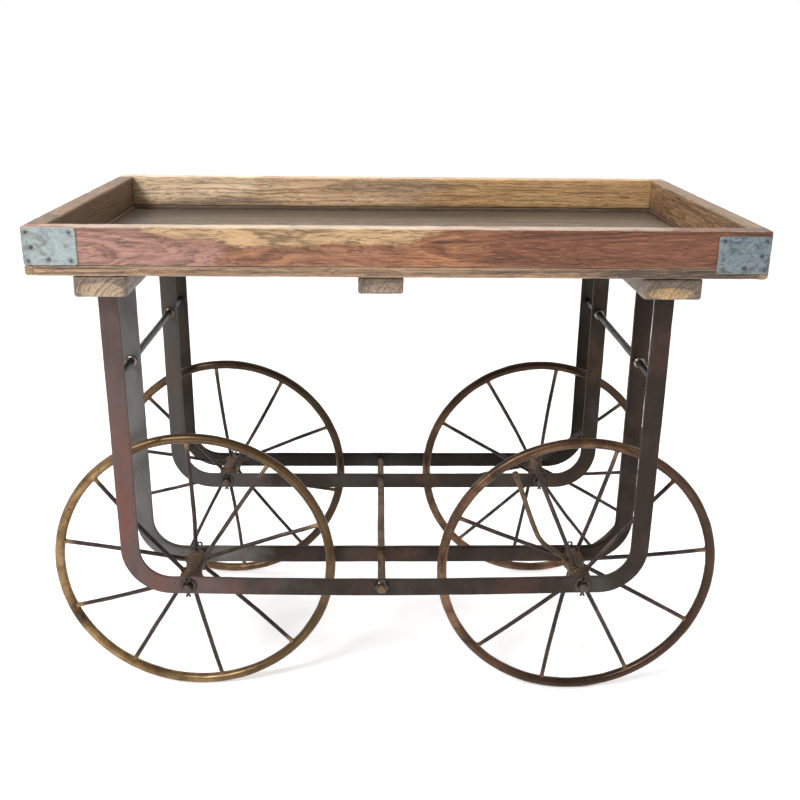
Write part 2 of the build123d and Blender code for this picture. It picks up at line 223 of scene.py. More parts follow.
def sweep_frames(path, closed=False):
    """For each point of a path: two directions square to it that don't twist."""
    path = np.asarray(path, float)
    if closed:
        tangents = np.roll(path, -1, axis=0) - np.roll(path, 1, axis=0)
    else:
        tangents = np.gradient(path, axis=0)
    tangents /= np.linalg.norm(tangents, axis=1)[:, None]
    first = np.array([0.0, 1.0, 0.0])
    if abs(tangents[0] @ first) > 0.9:
        first = np.array([1.0, 0.0, 0.0])
    sides, ups = [], []
    for tangent in tangents:
        first = first - tangent * (first @ tangent)
        first /= np.linalg.norm(first)
        sides.append(first)
        ups.append(np.cross(tangent, first))
    return np.array(sides), np.array(ups)


def tube(path, radii, sides=12, closed=False):
    """A round bar along a path; its ends are slightly domed."""
    path = np.asarray(path, float)
    radii = np.broadcast_to(np.asarray(radii, float), len(path)).copy()
    if not closed:
        start = path[0] - (path[1] - path[0]) / np.linalg.norm(path[1] - path[0]) * radii[0] * 0.18
        end = path[-1] + (path[-1] - path[-2]) / np.linalg.norm(path[-1] - path[-2]) * radii[-1] * 0.18
        path = np.vstack([start, start * 0.6 + path[0] * 0.4, path, end * 0.6 + path[-1] * 0.4, end])
        first, last = [radii[0] * 0.35, radii[0] * 0.8], [radii[-1] * 0.8, radii[-1] * 0.35]
        radii = np.concatenate([first, radii, last])
    side, up = sweep_frames(path, closed)
    angles = np.linspace(0, 2 * math.pi, sides, endpoint=False)
    rings = (
        path[:, None, :]
        + (radii[:, None] * np.cos(angles))[:, :, None] * side[:, None, :]
        + (radii[:, None] * np.sin(angles))[:, :, None] * up[:, None, :]
    )
    return loft(rings, closed)


def lathe(profile, centre, axis, sides=32):
    """A turned shape: the profile is (distance along the axis, radius)."""
    axis = np.asarray(axis, float) / np.linalg.norm(axis)
    side = np.cross(axis, (0.0, 0.0, 1.0) if abs(axis[2]) < 0.9 else (1.0, 0.0, 0.0))
    side /= np.linalg.norm(side)
    up = np.cross(axis, side)
    angles = np.linspace(0, 2 * math.pi, sides, endpoint=False)
    circle = np.cos(angles)[:, None] * side + np.sin(angles)[:, None] * up
    rings = [np.asarray(centre) + along * axis + radius * circle for along, radius in profile]
    return loft(rings)


def pierced(profile, centre, axis, sides=32):
    """A turned ring, open through its middle: the profile is a closed loop."""
    points, faces = lathe(profile, centre, axis, sides)
    faces = faces[:-2]
    last = (len(profile) - 1) * sides
    for k in range(sides):
        m = (k + 1) % sides
        faces.append((last + k, last + m, m, k))
    return points, faces


def weld(centre, axis, radius, thickness, seed, sides=20):
    """An uneven bead of weld round a rod."""
    section = 8
    angles = np.linspace(0, 2 * math.pi, section, endpoint=False)
    profile = [(thickness * 0.8 * math.sin(a), radius + thickness * 0.7 * math.cos(a)) for a in angles]
    points, faces = pierced(profile, centre, axis, sides)
    shift = bumps(points, 260, seed)
    outward = points - np.asarray(centre)
    outward /= np.linalg.norm(outward, axis=1)[:, None]
    return points + outward * (shift * thickness * 0.45)[:, None], faces


def finish_piece(piece, body, material, slot, *nodes):
    """Material, body and the CAD nodes that the piece stands for; the slot is not used."""
    piece.data.materials.append(material)
    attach(piece, body)
    if nodes:
        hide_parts(*nodes)
    return piece


# ------------------------------------------------------------------ materials


class Graph:
    """A material's nodes, made one line at a time."""

    def __init__(self, name):
        self.material = bpy.data.materials.new(name)
        self.material.use_nodes = True
        self.tree = self.material.node_tree
        self.shader = self.tree.nodes["Principled BSDF"]
        self.coordinates = self.add("ShaderNodeTexCoord").outputs["Object"]

    def add(self, kind, **settings):
        node = self.tree.nodes.new(kind)
        for key, value in settings.items():
            setattr(node, key, value)
        return node

    def put(self, value, socket):
        """A number or colour is set on the socket; another socket is linked to it."""
        if isinstance(value, bpy.types.NodeSocket):
            self.tree.links.new(value, socket)
        elif isinstance(value, (tuple, list)) and len(value) == 3 and socket.type == "RGBA":
            socket.default_value = (*value, 1.0)
        else:
            socket.default_value = value

    def scaled(self, scale, shift=(0.0, 0.0, 0.0), vector=None):
        node = self.add("ShaderNodeMapping")
        self.put(vector or self.coordinates, node.inputs["Vector"])
        node.inputs["Scale"].default_value = scale
        node.inputs["Location"].default_value = shift
        return node.outputs["Vector"]

    def noise(self, vector, scale, detail=4.0, roughness=0.55, distortion=0.0):
        node = self.add("ShaderNodeTexNoise")
        self.put(vector, node.inputs["Vector"])
        node.inputs["Scale"].default_value = scale
        node.inputs["Detail"].default_value = detail
        node.inputs["Roughness"].default_value = roughness
        node.inputs["Distortion"].default_value = distortion
        return node.outputs["Fac"]

    def ramp(self, factor, stops):
        node = self.add("ShaderNodeValToRGB")
        self.put(factor, node.inputs["Fac"])
        elements = node.color_ramp.elements
        while len(elements) < len(stops):
            elements.new(0.5)
        for element, (place, colour) in zip(elements, stops):
            element.position = place
            element.color = (*colour, 1.0)
        return node.outputs["Color"]

    def mix(self, factor, first, second, blend="MIX"):
        node = self.add("ShaderNodeMix", data_type="RGBA", blend_type=blend)
        self.put(factor, node.inputs["Factor"])
        self.put(first, node.inputs[6])
        self.put(second, node.inputs[7])
        return node.outputs[2]

    def sum(self, operation, first, second=0.0, third=0.0):
        node = self.add("ShaderNodeMath", operation=operation)
        for value, socket in zip((first, second, third), node.inputs):
            self.put(value, socket)
        return node.outputs[0]

    def span(self, value, low, high, to_low=0.0, to_high=1.0, smooth=True):
        node = self.add("ShaderNodeMapRange", interpolation_type="SMOOTHSTEP" if smooth else "LINEAR")
        for item, socket in zip((value, low, high, to_low, to_high), node.inputs):
            self.put(item, socket)
        return node.outputs[0]

    def attribute(self, name):
        return self.add("ShaderNodeAttribute", attribute_name=name).outputs["Fac"]

    def patch(self, centre, size, ragged, seed=0.0):
        """1 inside a soft ragged ellipsoid of the object's own space, 0 outside."""
        moved = self.add("ShaderNodeVectorMath", operation="SUBTRACT")
        self.put(self.coordinates, moved.inputs[0])
        moved.inputs[1].default_value = centre
        divided = self.add("ShaderNodeVectorMath", operation="DIVIDE")
        self.put(moved.outputs[0], divided.inputs[0])
        divided.inputs[1].default_value = size
        length = self.add("ShaderNodeVectorMath", operation="LENGTH")
        self.put(divided.outputs[0], length.inputs[0])
        edge = self.noise(self.scaled((1, 1, 1), (seed, seed, 0)), 14.0, 5.0)
        wander = self.sum("MULTIPLY", self.sum("SUBTRACT", edge, 0.5), ragged)
        return self.span(self.sum("ADD", length.outputs[1], wander), 1.15, 0.55)

    def bump(self, height, distance, strength=1.0, under=None):
        node = self.add("ShaderNodeBump")
        node.inputs["Strength"].default_value = strength
        node.inputs["Distance"].default_value = distance
        self.put(height, node.inputs["Height"])
        if under is not None:
            self.put(under, node.inputs["Normal"])
        return node.outputs["Normal"]

    def done(self, colour, roughness, normal, metallic=0.0, **constants):
        self.put(colour, self.shader.inputs["Base Color"])
        self.put(roughness, self.shader.inputs["Roughness"])
        self.put(metallic, self.shader.inputs["Metallic"])
        self.put(normal, self.shader.inputs["Normal"])
        for name, value in constants.items():
            self.shader.inputs[name.replace("_", " ")].default_value = value
        return self.material


def times(factor, colour):
    return tuple(factor * c for c in colour)


def wood(
    name, axis, tones, seed, heart, patches=(), turn=-5.0, worn=(0.42, 0.31, 0.21), gloss=0.5, dirt=0.5,
):
    """Old hardwood. axis is the grain's and tones run from dark to light. heart gives the tree's
    middle line as (start, slope) in each of the other two axes; it is nearest at the turn.
    Each patch is (colour, centre, size, strength)."""
    g = Graph(name)
    shift = (seed * 3.1, seed * 1.7, seed * 2.3)
    others = [place for place in range(3) if place != axis]

    def stretched(along, across, vector=None):
        scale = [across, across, across]
        scale[axis] = along
        return g.scaled(tuple(scale), shift, vector)

    warp = g.noise(stretched(3.2, 9.0), 1.0, 3.0, 0.5)
    ripple = g.noise(stretched(14.0, 40.0), 1.0, 2.0, 0.5)
    warp = g.sum("ADD", warp, g.sum("MULTIPLY", ripple, 0.2))
    moved = g.add("ShaderNodeVectorMath", operation="ADD")
    offset = g.add("ShaderNodeCombineXYZ")
    for place in others:
        g.put(g.sum("MULTIPLY", g.sum("SUBTRACT", warp, 0.6), 0.045), offset.inputs[place])
    g.put(g.coordinates, moved.inputs[0])
    g.put(offset.outputs[0], moved.inputs[1])
    warped = moved.outputs[0]

    split = g.add("ShaderNodeSeparateXYZ")
    g.put(warped, split.inputs[0])
    reach = g.sum("ABSOLUTE", g.sum("SUBTRACT", split.outputs[axis], turn))
    squares = []
    for place, (start, slope) in zip(others, heart):
        lean = g.sum("MULTIPLY", reach, slope)
        gap = g.sum("SUBTRACT", g.sum("SUBTRACT", split.outputs[place], start), lean)
        squares.append(g.sum("MULTIPLY", gap, gap))
    flow = g.add("ShaderNodeCombineXYZ")
    g.put(g.sum("MULTIPLY", g.sum("SQRT", g.sum("ADD", *squares)), 300.0), flow.inputs[0])
    g.put(g.sum("MULTIPLY", split.outputs[axis], 2.0), flow.inputs[1])
    rings = g.noise(flow.outputs[0], 1.0, 3.0, 0.6)
    lines = g.noise(stretched(5.0, 240.0, warped), 1.0, 3.0, 0.65)
    fibres = g.noise(stretched(30.0, 520.0, warped), 1.0, 3.0, 0.7)
    cloud = g.noise(stretched(3.4, 13.0), 1.0, 5.0, 0.6)
    grain = g.sum("ADD", g.sum("MULTIPLY", rings, 0.6), g.sum("MULTIPLY", lines, 0.4))
    dark, mid, light = tones
    colour = g.ramp(grain, ((0.38, dark), (0.5, mid), (0.62, light)))
    colour = g.mix(g.span(cloud, 0.42, 0.68, 0.0, 0.4), colour, mid)
    for number, (tint, centre, size, strength) in enumerate(patches):
        mask = g.patch(centre, size, 0.7, seed + number)
        shades = ((0.4, times(0.5, tint)), (0.5, tint), (0.6, times(1.25, tint)))
        rim = g.sum("MULTIPLY", mask, g.sum("SUBTRACT", 1.0, mask))
        colour = g.mix(g.sum("MULTIPLY", rim, 1.6 * strength), colour, times(0.8, dark))
        colour = g.mix(g.sum("MULTIPLY", g.span(mask, 0.35, 0.75), strength), colour, g.ramp(grain, shades))
    pores = g.span(fibres, 0.48, 0.38)
    colour = g.mix(g.sum("MULTIPLY", pores, 0.6), colour, times(0.4, dark))
    streaks = g.span(fibres, 0.55, 0.68)
    colour = g.mix(g.sum("MULTIPLY", streaks, 0.3), colour, times(1.25, light))
    stain = g.span(g.noise(stretched(6.0, 26.0), 1.0, 6.0, 0.68), 0.54, 0.7)
    colour = g.mix(g.sum("MULTIPLY", stain, dirt), colour, tuple(0.5 * c + 0.006 for c in dark))
    wear = g.attribute("wear")
    rub = g.noise(g.scaled((1, 1, 1), shift), 60.0, 5.0, 0.7)
    rubbed = g.span(g.sum("MULTIPLY", wear, g.sum("ADD", rub, 0.35)), 0.42, 0.75)
    colour = g.mix(g.sum("MULTIPLY", rubbed, 0.6), colour, worn)
    # Painted shade: a per-point attribute darkens inner faces, corners where boards meet and parts under the
    # tray, where shade falls.
    grime = g.sum("MULTIPLY", g.attribute("grime"), g.span(cloud, 0.25, 0.6, 1.0, 0.75))
    colour = g.mix(grime, colour, times(0.2, mid))
    uneven = g.sum("ADD", grain, g.sum("MULTIPLY", stain, 0.3))
    roughness = g.span(uneven, 0.3, 0.9, gloss - 0.09, gloss + 0.16)
    normal = g.bump(fibres, 0.6 * MM, 0.5)
    normal = g.bump(lines, 0.8 * MM, 0.5, normal)
    normal = g.bump(rings, 0.8 * MM, 0.3, normal)
    return g.done(colour, roughness, normal, IOR=1.46)


def iron(name, seed, base, brown, grey, brown_share=0.5, gloss=0.4, metal=0.45, painted_lit_tone=None):
    """Waxed black iron with rust showing through in places. The last tone, if given, is painted light: a
    lighter look laid on where the per-point side attribute is 1, the side the lamp falls on.
    """
    g = Graph(name)
    shift = (seed * 2.3, seed * 1.1, seed * 3.7)
    place = g.scaled((1, 1, 1), shift)
    cloud = g.noise(place, 9.0, 6.0, 0.62, 0.4)
    fine = g.noise(place, 160.0, 5.0, 0.65)
    grain = g.noise(place, 900.0, 2.0, 0.6)
    brush = g.noise(g.scaled((70, 70, 9), shift), 1.0, 4.0, 0.6)
    colour = g.mix(g.span(cloud, 0.62 - 0.3 * brown_share, 0.8 - 0.3 * brown_share), base, brown)
    other = g.noise(g.scaled((1, 1, 1), (shift[2], shift[0], shift[1])), 6.0, 4.0, 0.6)
    colour = g.mix(g.sum("MULTIPLY", g.span(other, 0.5, 0.68), 0.8), colour, grey)
    # Painted light: lighter tones laid on the side of the bar the lamp falls on.
    if painted_lit_tone:
        painted_side_light = g.sum("ADD", g.attribute("painted_side_light"), g.sum("MULTIPLY", g.sum("SUBTRACT", cloud, 0.5), 0.9))
        drift = g.noise(g.scaled((16, 16, 5), shift), 1.0, 5.0, 0.62)
        dull = tuple(0.55 * c + 0.42 * sum(painted_lit_tone) / 3 for c in painted_lit_tone)
        ruddy = tuple(a * b for a, b in zip(painted_lit_tone, (1.15, 0.95, 0.88)))
        stops = ((0.36, times(0.85, dull)), (0.46, dull), (0.55, painted_lit_tone), (0.66, ruddy))
        colour = g.mix(g.span(painted_side_light, 0.25, 0.75, 0.0, 0.92), colour, g.ramp(drift, stops))
    speck = g.span(fine, 0.58, 0.7)
    colour = g.mix(g.sum("MULTIPLY", speck, 0.45), colour, times(1.5, brown))
    pit = g.span(fine, 0.36, 0.27)
    colour = g.mix(g.sum("MULTIPLY", pit, 0.6), colour, times(0.35, base))
    wear = g.span(g.sum("MULTIPLY", g.attribute("wear"), g.sum("ADD", fine, 0.45)), 0.5, 0.95)
    colour = g.mix(g.sum("MULTIPLY", wear, 0.4), colour, tuple(0.07 + 0.9 * c for c in brown))
    uneven = g.sum("ADD", brush, g.sum("MULTIPLY", speck, 0.5))
    roughness = g.span(uneven, 0.3, 1.1, gloss - 0.08, gloss + 0.25)
    roughness = g.sum("ADD", roughness, g.sum("MULTIPLY", wear, 0.3))
    normal = g.bump(grain, 0.12 * MM, 0.5)
    normal = g.bump(fine, 0.5 * MM, 0.45, normal)
    normal = g.bump(brush, 0.8 * MM, 0.25, normal)
    metallic = g.span(speck, 0.0, 1.0, metal, metal * 0.5)
    return g.done(colour, roughness, normal, metallic, Specular_IOR_Level=0.22)


def patina(name, seed, light, mid, dark, gloss=0.36, metal=0.7):
    """The rims' bronze-brown skin: rubbed bright in places, dark in pits."""
    g = Graph(name)
    shift = (seed * 1.3, seed * 2.9, seed * 0.7)
    place = g.scaled((1, 1, 1), shift)
    cloud = g.noise(place, 16.0, 6.0, 0.65, 0.6)
    fine = g.noise(place, 230.0, 5.0, 0.7)
    grain = g.noise(place, 1100.0, 2.0, 0.6)
    colour = g.ramp(cloud, ((0.3, dark), (0.47, mid), (0.68, light)))
    # Painted shade: darker on the rim's side away from the lamp, from the per-point side attribute.
    painted_side_light = g.sum("ADD", g.attribute("painted_side_light"), g.sum("MULTIPLY", g.sum("SUBTRACT", cloud, 0.5), 0.6))
    shaded = tuple(0.6 * a + 0.25 * b for a, b in zip(dark, mid))
    colour = g.mix(g.span(painted_side_light, 0.15, 0.85, 0.0, 0.85), colour, shaded)
    colour = g.mix(g.span(fine, 0.42, 0.3, 0.0, 0.85), colour, times(0.3, dark))
    colour = g.mix(g.span(fine, 0.6, 0.72, 0.0, 0.35), colour, mid)
    nick = g.span(g.noise(place, 75.0, 3.0, 0.6), 0.3, 0.24)
    colour = g.mix(g.sum("MULTIPLY", nick, 0.8), colour, times(0.25, dark))
    roughness = g.span(g.sum("ADD", cloud, g.sum("MULTIPLY", fine, 0.5)), 0.4, 1.1, gloss + 0.2, gloss - 0.06)
    normal = g.bump(grain, 0.1 * MM, 0.4)
    normal = g.bump(fine, 0.45 * MM, 0.4, normal)
    normal = g.bump(nick, 0.5 * MM, -0.5, normal)
    return g.done(colour, roughness, normal, metal)


def spoke_iron(name, seed, tip):
    """Dark rods that go golden at the rim weld and rusty at the hub."""
    g = Graph(name)
    shift = (seed * 1.9, seed * 0.6, seed * 2.2)
    place = g.scaled((1, 1, 1), shift)
    fine = g.noise(place, 240.0, 5.0, 0.7)
    cloud = g.noise(place, 28.0, 5.0, 0.6)
    stops = ((0.32, (0.018, 0.014, 0.013)), (0.55, (0.045, 0.032, 0.028)), (0.75, (0.1, 0.065, 0.05)))
    colour = g.ramp(cloud, stops)
    colour = g.mix(g.span(fine, 0.56, 0.7, 0.0, 0.55), colour, (0.16, 0.1, 0.065))
    out = g.sum("ADD", g.attribute("out"), g.sum("MULTIPLY", g.sum("SUBTRACT", cloud, 0.5), 0.22))
    colour = g.mix(g.span(out, 0.9, 1.01, 0.0, 0.75), colour, tip)
    colour = g.mix(g.span(out, 0.16, 0.04, 0.0, 0.8), colour, (0.07, 0.042, 0.024))
    roughness = g.span(fine, 0.3, 0.75, 0.3, 0.62)
    normal = g.bump(fine, 0.35 * MM, 0.45)
    return g.done(colour, roughness, normal, 0.5, Specular_IOR_Level=0.3)


def rust(name, seed, light=(0.15, 0.088, 0.045), dark=(0.035, 0.022, 0.014)):
    """Coarse brown rust under wax, for hubs, rods and welds."""
    g = Graph(name)
    shift = (seed * 1.4, seed * 2.6, seed * 0.9)
    place = g.scaled((1, 1, 1), shift)
    cloud = g.noise(place, 40.0, 6.0, 0.65, 0.5)
    fine = g.noise(place, 320.0, 4.0, 0.7)
    middle_tone = tuple((a + b) / 2 for a, b in zip(light, dark))
    colour = g.ramp(cloud, ((0.32, dark), (0.52, middle_tone), (0.7, light)))
    colour = g.mix(g.span(fine, 0.44, 0.32, 0.0, 0.8), colour, times(0.4, dark))
    colour = g.mix(g.span(fine, 0.6, 0.72, 0.0, 0.6), colour, times(1.4, light))
    roughness = g.span(fine, 0.3, 0.75, 0.42, 0.75)
    normal = g.bump(fine, 0.6 * MM, 0.6)
    normal = g.bump(cloud, 1.0 * MM, 0.35, normal)
    return g.done(colour, roughness, normal, 0.4)


def zinc(name, seed, light, blue, dark):
    """Weathered galvanised sheet: cloudy blue-grey spangle with brown at its edges."""
    g = Graph(name)
    shift = (seed * 1.2, seed * 0.8, seed * 2.1)
    place = g.scaled((1, 1, 1), shift)
    cloud = g.noise(place, 38.0, 6.0, 0.6, 0.8)
    wisps = g.noise(g.scaled((50, 50, 75), shift), 1.0, 6.0, 0.7, 1.0)
    smudge = g.noise(g.scaled((34, 34, 60), (shift[1], shift[2], shift[0])), 1.0, 4.0, 0.6, 0.8)
    fine = g.noise(place, 420.0, 4.0, 0.65)
    spangle = g.add("ShaderNodeTexVoronoi")
    g.put(place, spangle.inputs["Vector"])
    spangle.inputs["Scale"].default_value = 170.0
    crystals = g.sum("MULTIPLY", spangle.outputs["Distance"], 0.35)
    colour = g.ramp(g.sum("ADD", cloud, crystals), ((0.4, blue), (0.58, light), (0.8, times(1.2, light))))
    colour = g.mix(g.span(wisps, 0.52, 0.62, 0.0, 0.8), colour, blue)
    colour = g.mix(g.span(smudge, 0.5, 0.68, 0.0, 0.65), colour, dark)
    colour = g.mix(g.span(wisps, 0.44, 0.32, 0.0, 0.6), colour, dark)
    colour = g.mix(g.span(fine, 0.62, 0.75, 0.0, 0.3), colour, times(1.5, light))
    edge = g.span(g.sum("MULTIPLY", g.attribute("wear"), g.sum("ADD", cloud, 0.5)), 0.35, 0.8)
    colour = g.mix(g.sum("MULTIPLY", edge, 0.75), colour, (0.2, 0.165, 0.11))
    # Painted shadow round the nail heads, from the per-point attribute.
    grime = g.attribute("grime")
    colour = g.mix(g.sum("MULTIPLY", grime, 0.75), colour, (0.07, 0.06, 0.05))
    roughness = g.span(g.sum("ADD", wisps, fine), 0.6, 1.4, 0.38, 0.62)
    normal = g.bump(cloud, 1.2 * MM, 0.25)
    normal = g.bump(fine, 0.25 * MM, 0.3, normal)
    return g.done(colour, roughness, normal, 0.45)


# ------------------------------------------------------------------ wood pieces


def worn_board(
    name, node, axis, material, slot, seed, radius=2.2, step=5.0, chips=1.0, grime=None, blocks=None,
):
    """A board or bearer in its node's place, with soft uneven edges and a slightly wavy face.
    A notched one is given as blocks that run into each other."""
    low, high = box(node)
    parts = []
    for block_low, block_high in blocks or [(low, high)]:
        parts.append(loft(block_rings(block_low, block_high, axis, radius * MM, step * MM, 3.5 * MM)))
    piece = make_object(name, parts)
    points = points_of(piece)
    nearness = edge_nearness(points, low, high, 3.0 * MM)
    along = [60.0, 60.0, 60.0]
    along[axis] = 6.0
    ridges = [170.0, 170.0, 170.0]
    ridges[axis] = 9.0
    bites = np.clip(bumps(points, 34, seed + 3) - 0.25, 0, 1)
    bites += 0.6 * np.clip(bumps(points, 90, seed + 4) - 0.3, 0, 1)
    amount = 0.3 * bumps(points, along, seed) + 0.14 * bumps(points, ridges, seed + 1)
    amount -= nearness * (0.35 + chips * 1.9 * bites)
    push(piece, amount * MM)
    give(piece, "wear", nearness)
    # Painted shade, where the caller gives it: darker inner faces, corners and undersides.
    if grime:
        give(piece, "grime", np.clip(grime(points), 0, 1))
    return finish_piece(piece, CART, material, slot, node)


def end_strip(side, seed):
    """A notched strip under an end board: its outer lower edge is rounded off."""
    node = f"{side}_base_strip"
    low, high = box(node)
    front_low, front_high = box("front_base_strip")
    back_low = box("back_base_strip")[0]
    outer_low, outer_high, inner_low, inner_high = low.copy(), high.copy(), low.copy(), high.copy()
    inner_low[1], inner_high[1] = front_high[1], back_low[1]
    inner_low[2] += 0.4 * MM
    if side == "left":
        outer_high[0] = front_low[0]
        inner_low[0] = outer_high[0] - 7 * MM
    else:
        outer_low[0] = front_high[0]
        inner_high[0] = outer_low[0] + 7 * MM
    material = wood(f"{side}_strip_wood", 1, STRIP_TONES, seed, ((low[0], 0.0), (-0.9, 0.0)), dirt=0.6)
    blocks = [(outer_low, outer_high), (inner_low, inner_high)]
    # Painted shade on the strip's inner parts, under the tray.
    piece = worn_board(
        f"{side}_strip_wood", node, 1, material, "base_strips", seed=41, chips=0.7, radius=0.9, blocks=blocks,
        grime=lambda p: 0.95 * (np.abs(p[:, 0] - (low[0] if side == "left" else high[0])) > 16 * MM),
    )
    points = points_of(piece)
    size = 8 * MM
    edge_x = low[0] + size if side == "left" else high[0] - size
    inward = 1 if side == "left" else -1
    gap = np.stack([(edge_x - points[:, 0]) * inward, low[2] + size - points[:, 2]], axis=1)
    reach = np.hypot(gap[:, 0], gap[:, 1])
    outside = (gap.min(axis=1) > 0) & (reach > size)
    shrink = np.where(outside, size / np.maximum(reach, size), 1.0)
    points[:, 0] = np.where(outside, edge_x - inward * gap[:, 0] * shrink, points[:, 0])
    points[:, 2] = np.where(outside, low[2] + size - gap[:, 1] * shrink, points[:, 2])
    move_to(piece, points)


RED_BROWN = ((0.09, 0.033, 0.016), (0.27, 0.105, 0.044), (0.39, 0.18, 0.085))
PURPLE = (0.29, 0.158, 0.13)
BROWN_RED = (0.275, 0.125, 0.07)
PALE_EDGE = (0.46, 0.37, 0.28)
GOLD = (0.4, 0.26, 0.135)
RUST_RED = (0.115, 0.038, 0.019)
DARK_RED = (0.06, 0.028, 0.018)
STRIP_TONES = ((0.075, 0.044, 0.028), (0.22, 0.132, 0.076), (0.38, 0.25, 0.145))
BACK_TONES = ((0.24, 0.145, 0.08), (0.5, 0.325, 0.185), (0.72, 0.52, 0.33))
FLOOR_TONES = ((0.062, 0.043, 0.028), (0.142, 0.102, 0.068), (0.24, 0.18, 0.13))
END_TONES = ((0.05, 0.026, 0.011), (0.21, 0.115, 0.052), (0.4, 0.24, 0.12))
BEARER_TONES = ((0.085, 0.06, 0.045), (0.18, 0.13, 0.093), (0.3, 0.22, 0.155))


def tray():
    """Boards, base strips, floor and bearers."""
    low, high = box("front_board")
    length = high[0] - low[0]
    face = low[1]
    mid_z = (low[2] + high[2]) / 2
    floor_back = box("back_board")[0][1]

    def along(part):
        return low[0] + part * length

    front = wood(
        "front_board_wood", 0, RED_BROWN, 1.0, ((face + 0.052, -0.072), (mid_z, 0.0)), turn=along(0.36),
        patches=(
            (BROWN_RED, (along(0.26), face, low[2]), (0.28, 0.2, 0.11), 0.65),
            (PURPLE, (along(0.12), face, mid_z), (0.21, 0.2, 0.09), 0.8),
            (GOLD, (along(0.36), face, high[2] + 0.006), (0.27, 0.2, 0.043), 0.95),
            (RUST_RED, (along(0.84), face, mid_z), (0.3, 0.2, 0.09), 0.85),
            (DARK_RED, (along(0.985), face, mid_z), (0.035, 0.2, 0.09), 0.6),
            (PALE_EDGE, (along(0.45), face, high[2] + 0.0006), (0.62, 0.6, 0.002), 0.6),
        ),
        gloss=0.46, dirt=0.2,
    )
    back = wood(
        "back_board_wood", 0, BACK_TONES, 2.0, ((floor_back + 0.07, -0.012), (low[2] - 0.03, 0.0)),
        patches=(
            ((0.42, 0.235, 0.085), (along(0.85), floor_back, mid_z), (0.4, 0.2, 0.12), 0.7),
            ((0.7, 0.53, 0.36), (along(0.1), floor_back, high[2]), (0.24, 0.2, 0.06), 0.7),
            ((0.2, 0.15, 0.11), (along(0.18), floor_back, low[2]), (0.16, 0.2, 0.022), 0.6),
            ((0.17, 0.12, 0.08), (along(0.5), floor_back, mid_z + 0.012), (0.16, 0.2, 0.012), 0.5),
        ),
        gloss=0.46, dirt=0.35, worn=(0.2, 0.14, 0.095),
    )
    worn_board("front_board_wood", "front_board", 0, front, "tray_boards", seed=11)
    # Painted shade on the back board: darker along its foot, where the floor meets it, and at the corner by
    # the left end.
    worn_board(
        "back_board_wood", "back_board", 0, back, "tray_boards", seed=21,
        grime=lambda p: 0.7 * np.exp(-(p[:, 2] - low[2]) / (3 * MM))
        + 0.5 * np.exp(-np.abs(p[:, 0] - along(0.027)) / 0.012),
    )
    for number, side in enumerate(("left", "right")):
        end_low, end_high = box(f"{side}_end_board")
        heart_x = end_low[0] + 0.06 if number else end_high[0] - 0.06
        end = wood(
            f"{side}_end_wood", 1, END_TONES, 3.0 + number, ((heart_x, 0.01), (end_low[2] - 0.04, 0.01)),
            gloss=0.48, worn=(0.19, 0.145, 0.11),
        )
        # Painted shade: the inner part of each end board is darkened, the left one most; its top 3 mm are
        # darkened too.
        strength = 0.2 if number else 1.0
        worn_board(
            f"{side}_end_wood", f"{side}_end_board", 1, end, "tray_boards", seed=31 + number,
            grime=lambda p: np.where(
                end_high[2] - p[:, 2] < 3 * MM, 0.4,
                strength * (np.abs(p[:, 0] - (low[0] if side == "left" else high[0])) > 24 * MM),
            ),
        )
        end_strip(side, 5.0 + number)
    strip = wood(
        "base_strip_wood", 0, STRIP_TONES, 7.0, ((face - 0.06, 0.01), (low[2] - 0.05, 0.015)), dirt=0.5,
        patches=(((0.06, 0.04, 0.028), (along(0.92), face, low[2]), (0.19, 0.1, 0.1), 0.95),),
    )
    for number, end in enumerate(("front", "back")):
        outer = -1 if end == "front" else 1
        # Painted shade on the strip's inner faces, under the tray.
        worn_board(
            f"{end}_strip_wood", f"{end}_base_strip", 0, strip, "base_strips",
            seed=51 + number, radius=0.9, chips=0.7,
            grime=lambda p: 0.95 * (outer * p[:, 1] < abs(face) - 18 * MM),
        )
    for number in range(1, 6):
        plank_low = box(f"floor_plank_{number}")[0]
        heart = ((plank_low[1] + 0.04, 0.004), (plank_low[2] - 0.05, 0.003))
        floor = wood(
            f"floor_wood_{number}", 0, FLOOR_TONES, 8.0 + number, heart,
            gloss=0.44, dirt=0.4, worn=(0.16, 0.125, 0.095),
        )
        # Painted shade: darker towards the back board and the left end, where they meet the floor.
        worn_board(
            f"floor_board_{number}", f"floor_plank_{number}", 0, floor, "floor_planks",
            seed=60 + number, radius=1.2, chips=0.3, step=8.0,
            grime=lambda p: 1.5 * np.exp((p[:, 1] - floor_back) / 0.14)
            + 0.6 * np.exp((along(0.026) - p[:, 0]) / 0.05),
        )
    # Each bearer: node, tint and height of its patch, and how much painted shade darkens it towards its top,
    # under the tray.
    bearers = (
        ("left_bearer", (0.38, 0.27, 0.17), 0.017, 0.1),
        ("centre_bearer", (0.3, 0.21, 0.14), 0.01, 0.45),
        ("right_bearer", (0.48, 0.31, 0.14), 0.011, 0.55),
    )
    for number, (name, tint, height, top_shade) in enumerate(bearers):
        bearer_low, bearer_high = box(name)
        heart = (((bearer_low[0] + bearer_high[0]) / 2 + 0.03, 0.005), (bearer_low[2] - 0.07, 0.01))
        spot = (bearer_low[0] + 0.044, bearer_low[1], bearer_low[2] + 0.01)
        timber = wood(
            f"{name}_wood", 1, BEARER_TONES, 15.0 + number, heart, dirt=0.7, worn=(0.22, 0.16, 0.11),
            patches=((tint, spot, (0.042, 0.03, height), 0.75),),
        )
        # Painted shade: darker towards the top, under the tray, and along the top edge.
        worn_board(
            f"{name}_wood", name, 1, timber, "bearers", radius=4.0, seed=71 + number, chips=1.2,
            grime=lambda p: top_shade * np.clip((p[:, 2] - bearer_low[2]) / 0.02, 0.2, 1)
            + 0.5 * np.exp(-(bearer_high[2] - p[:, 2]) / (4 * MM)),
        )


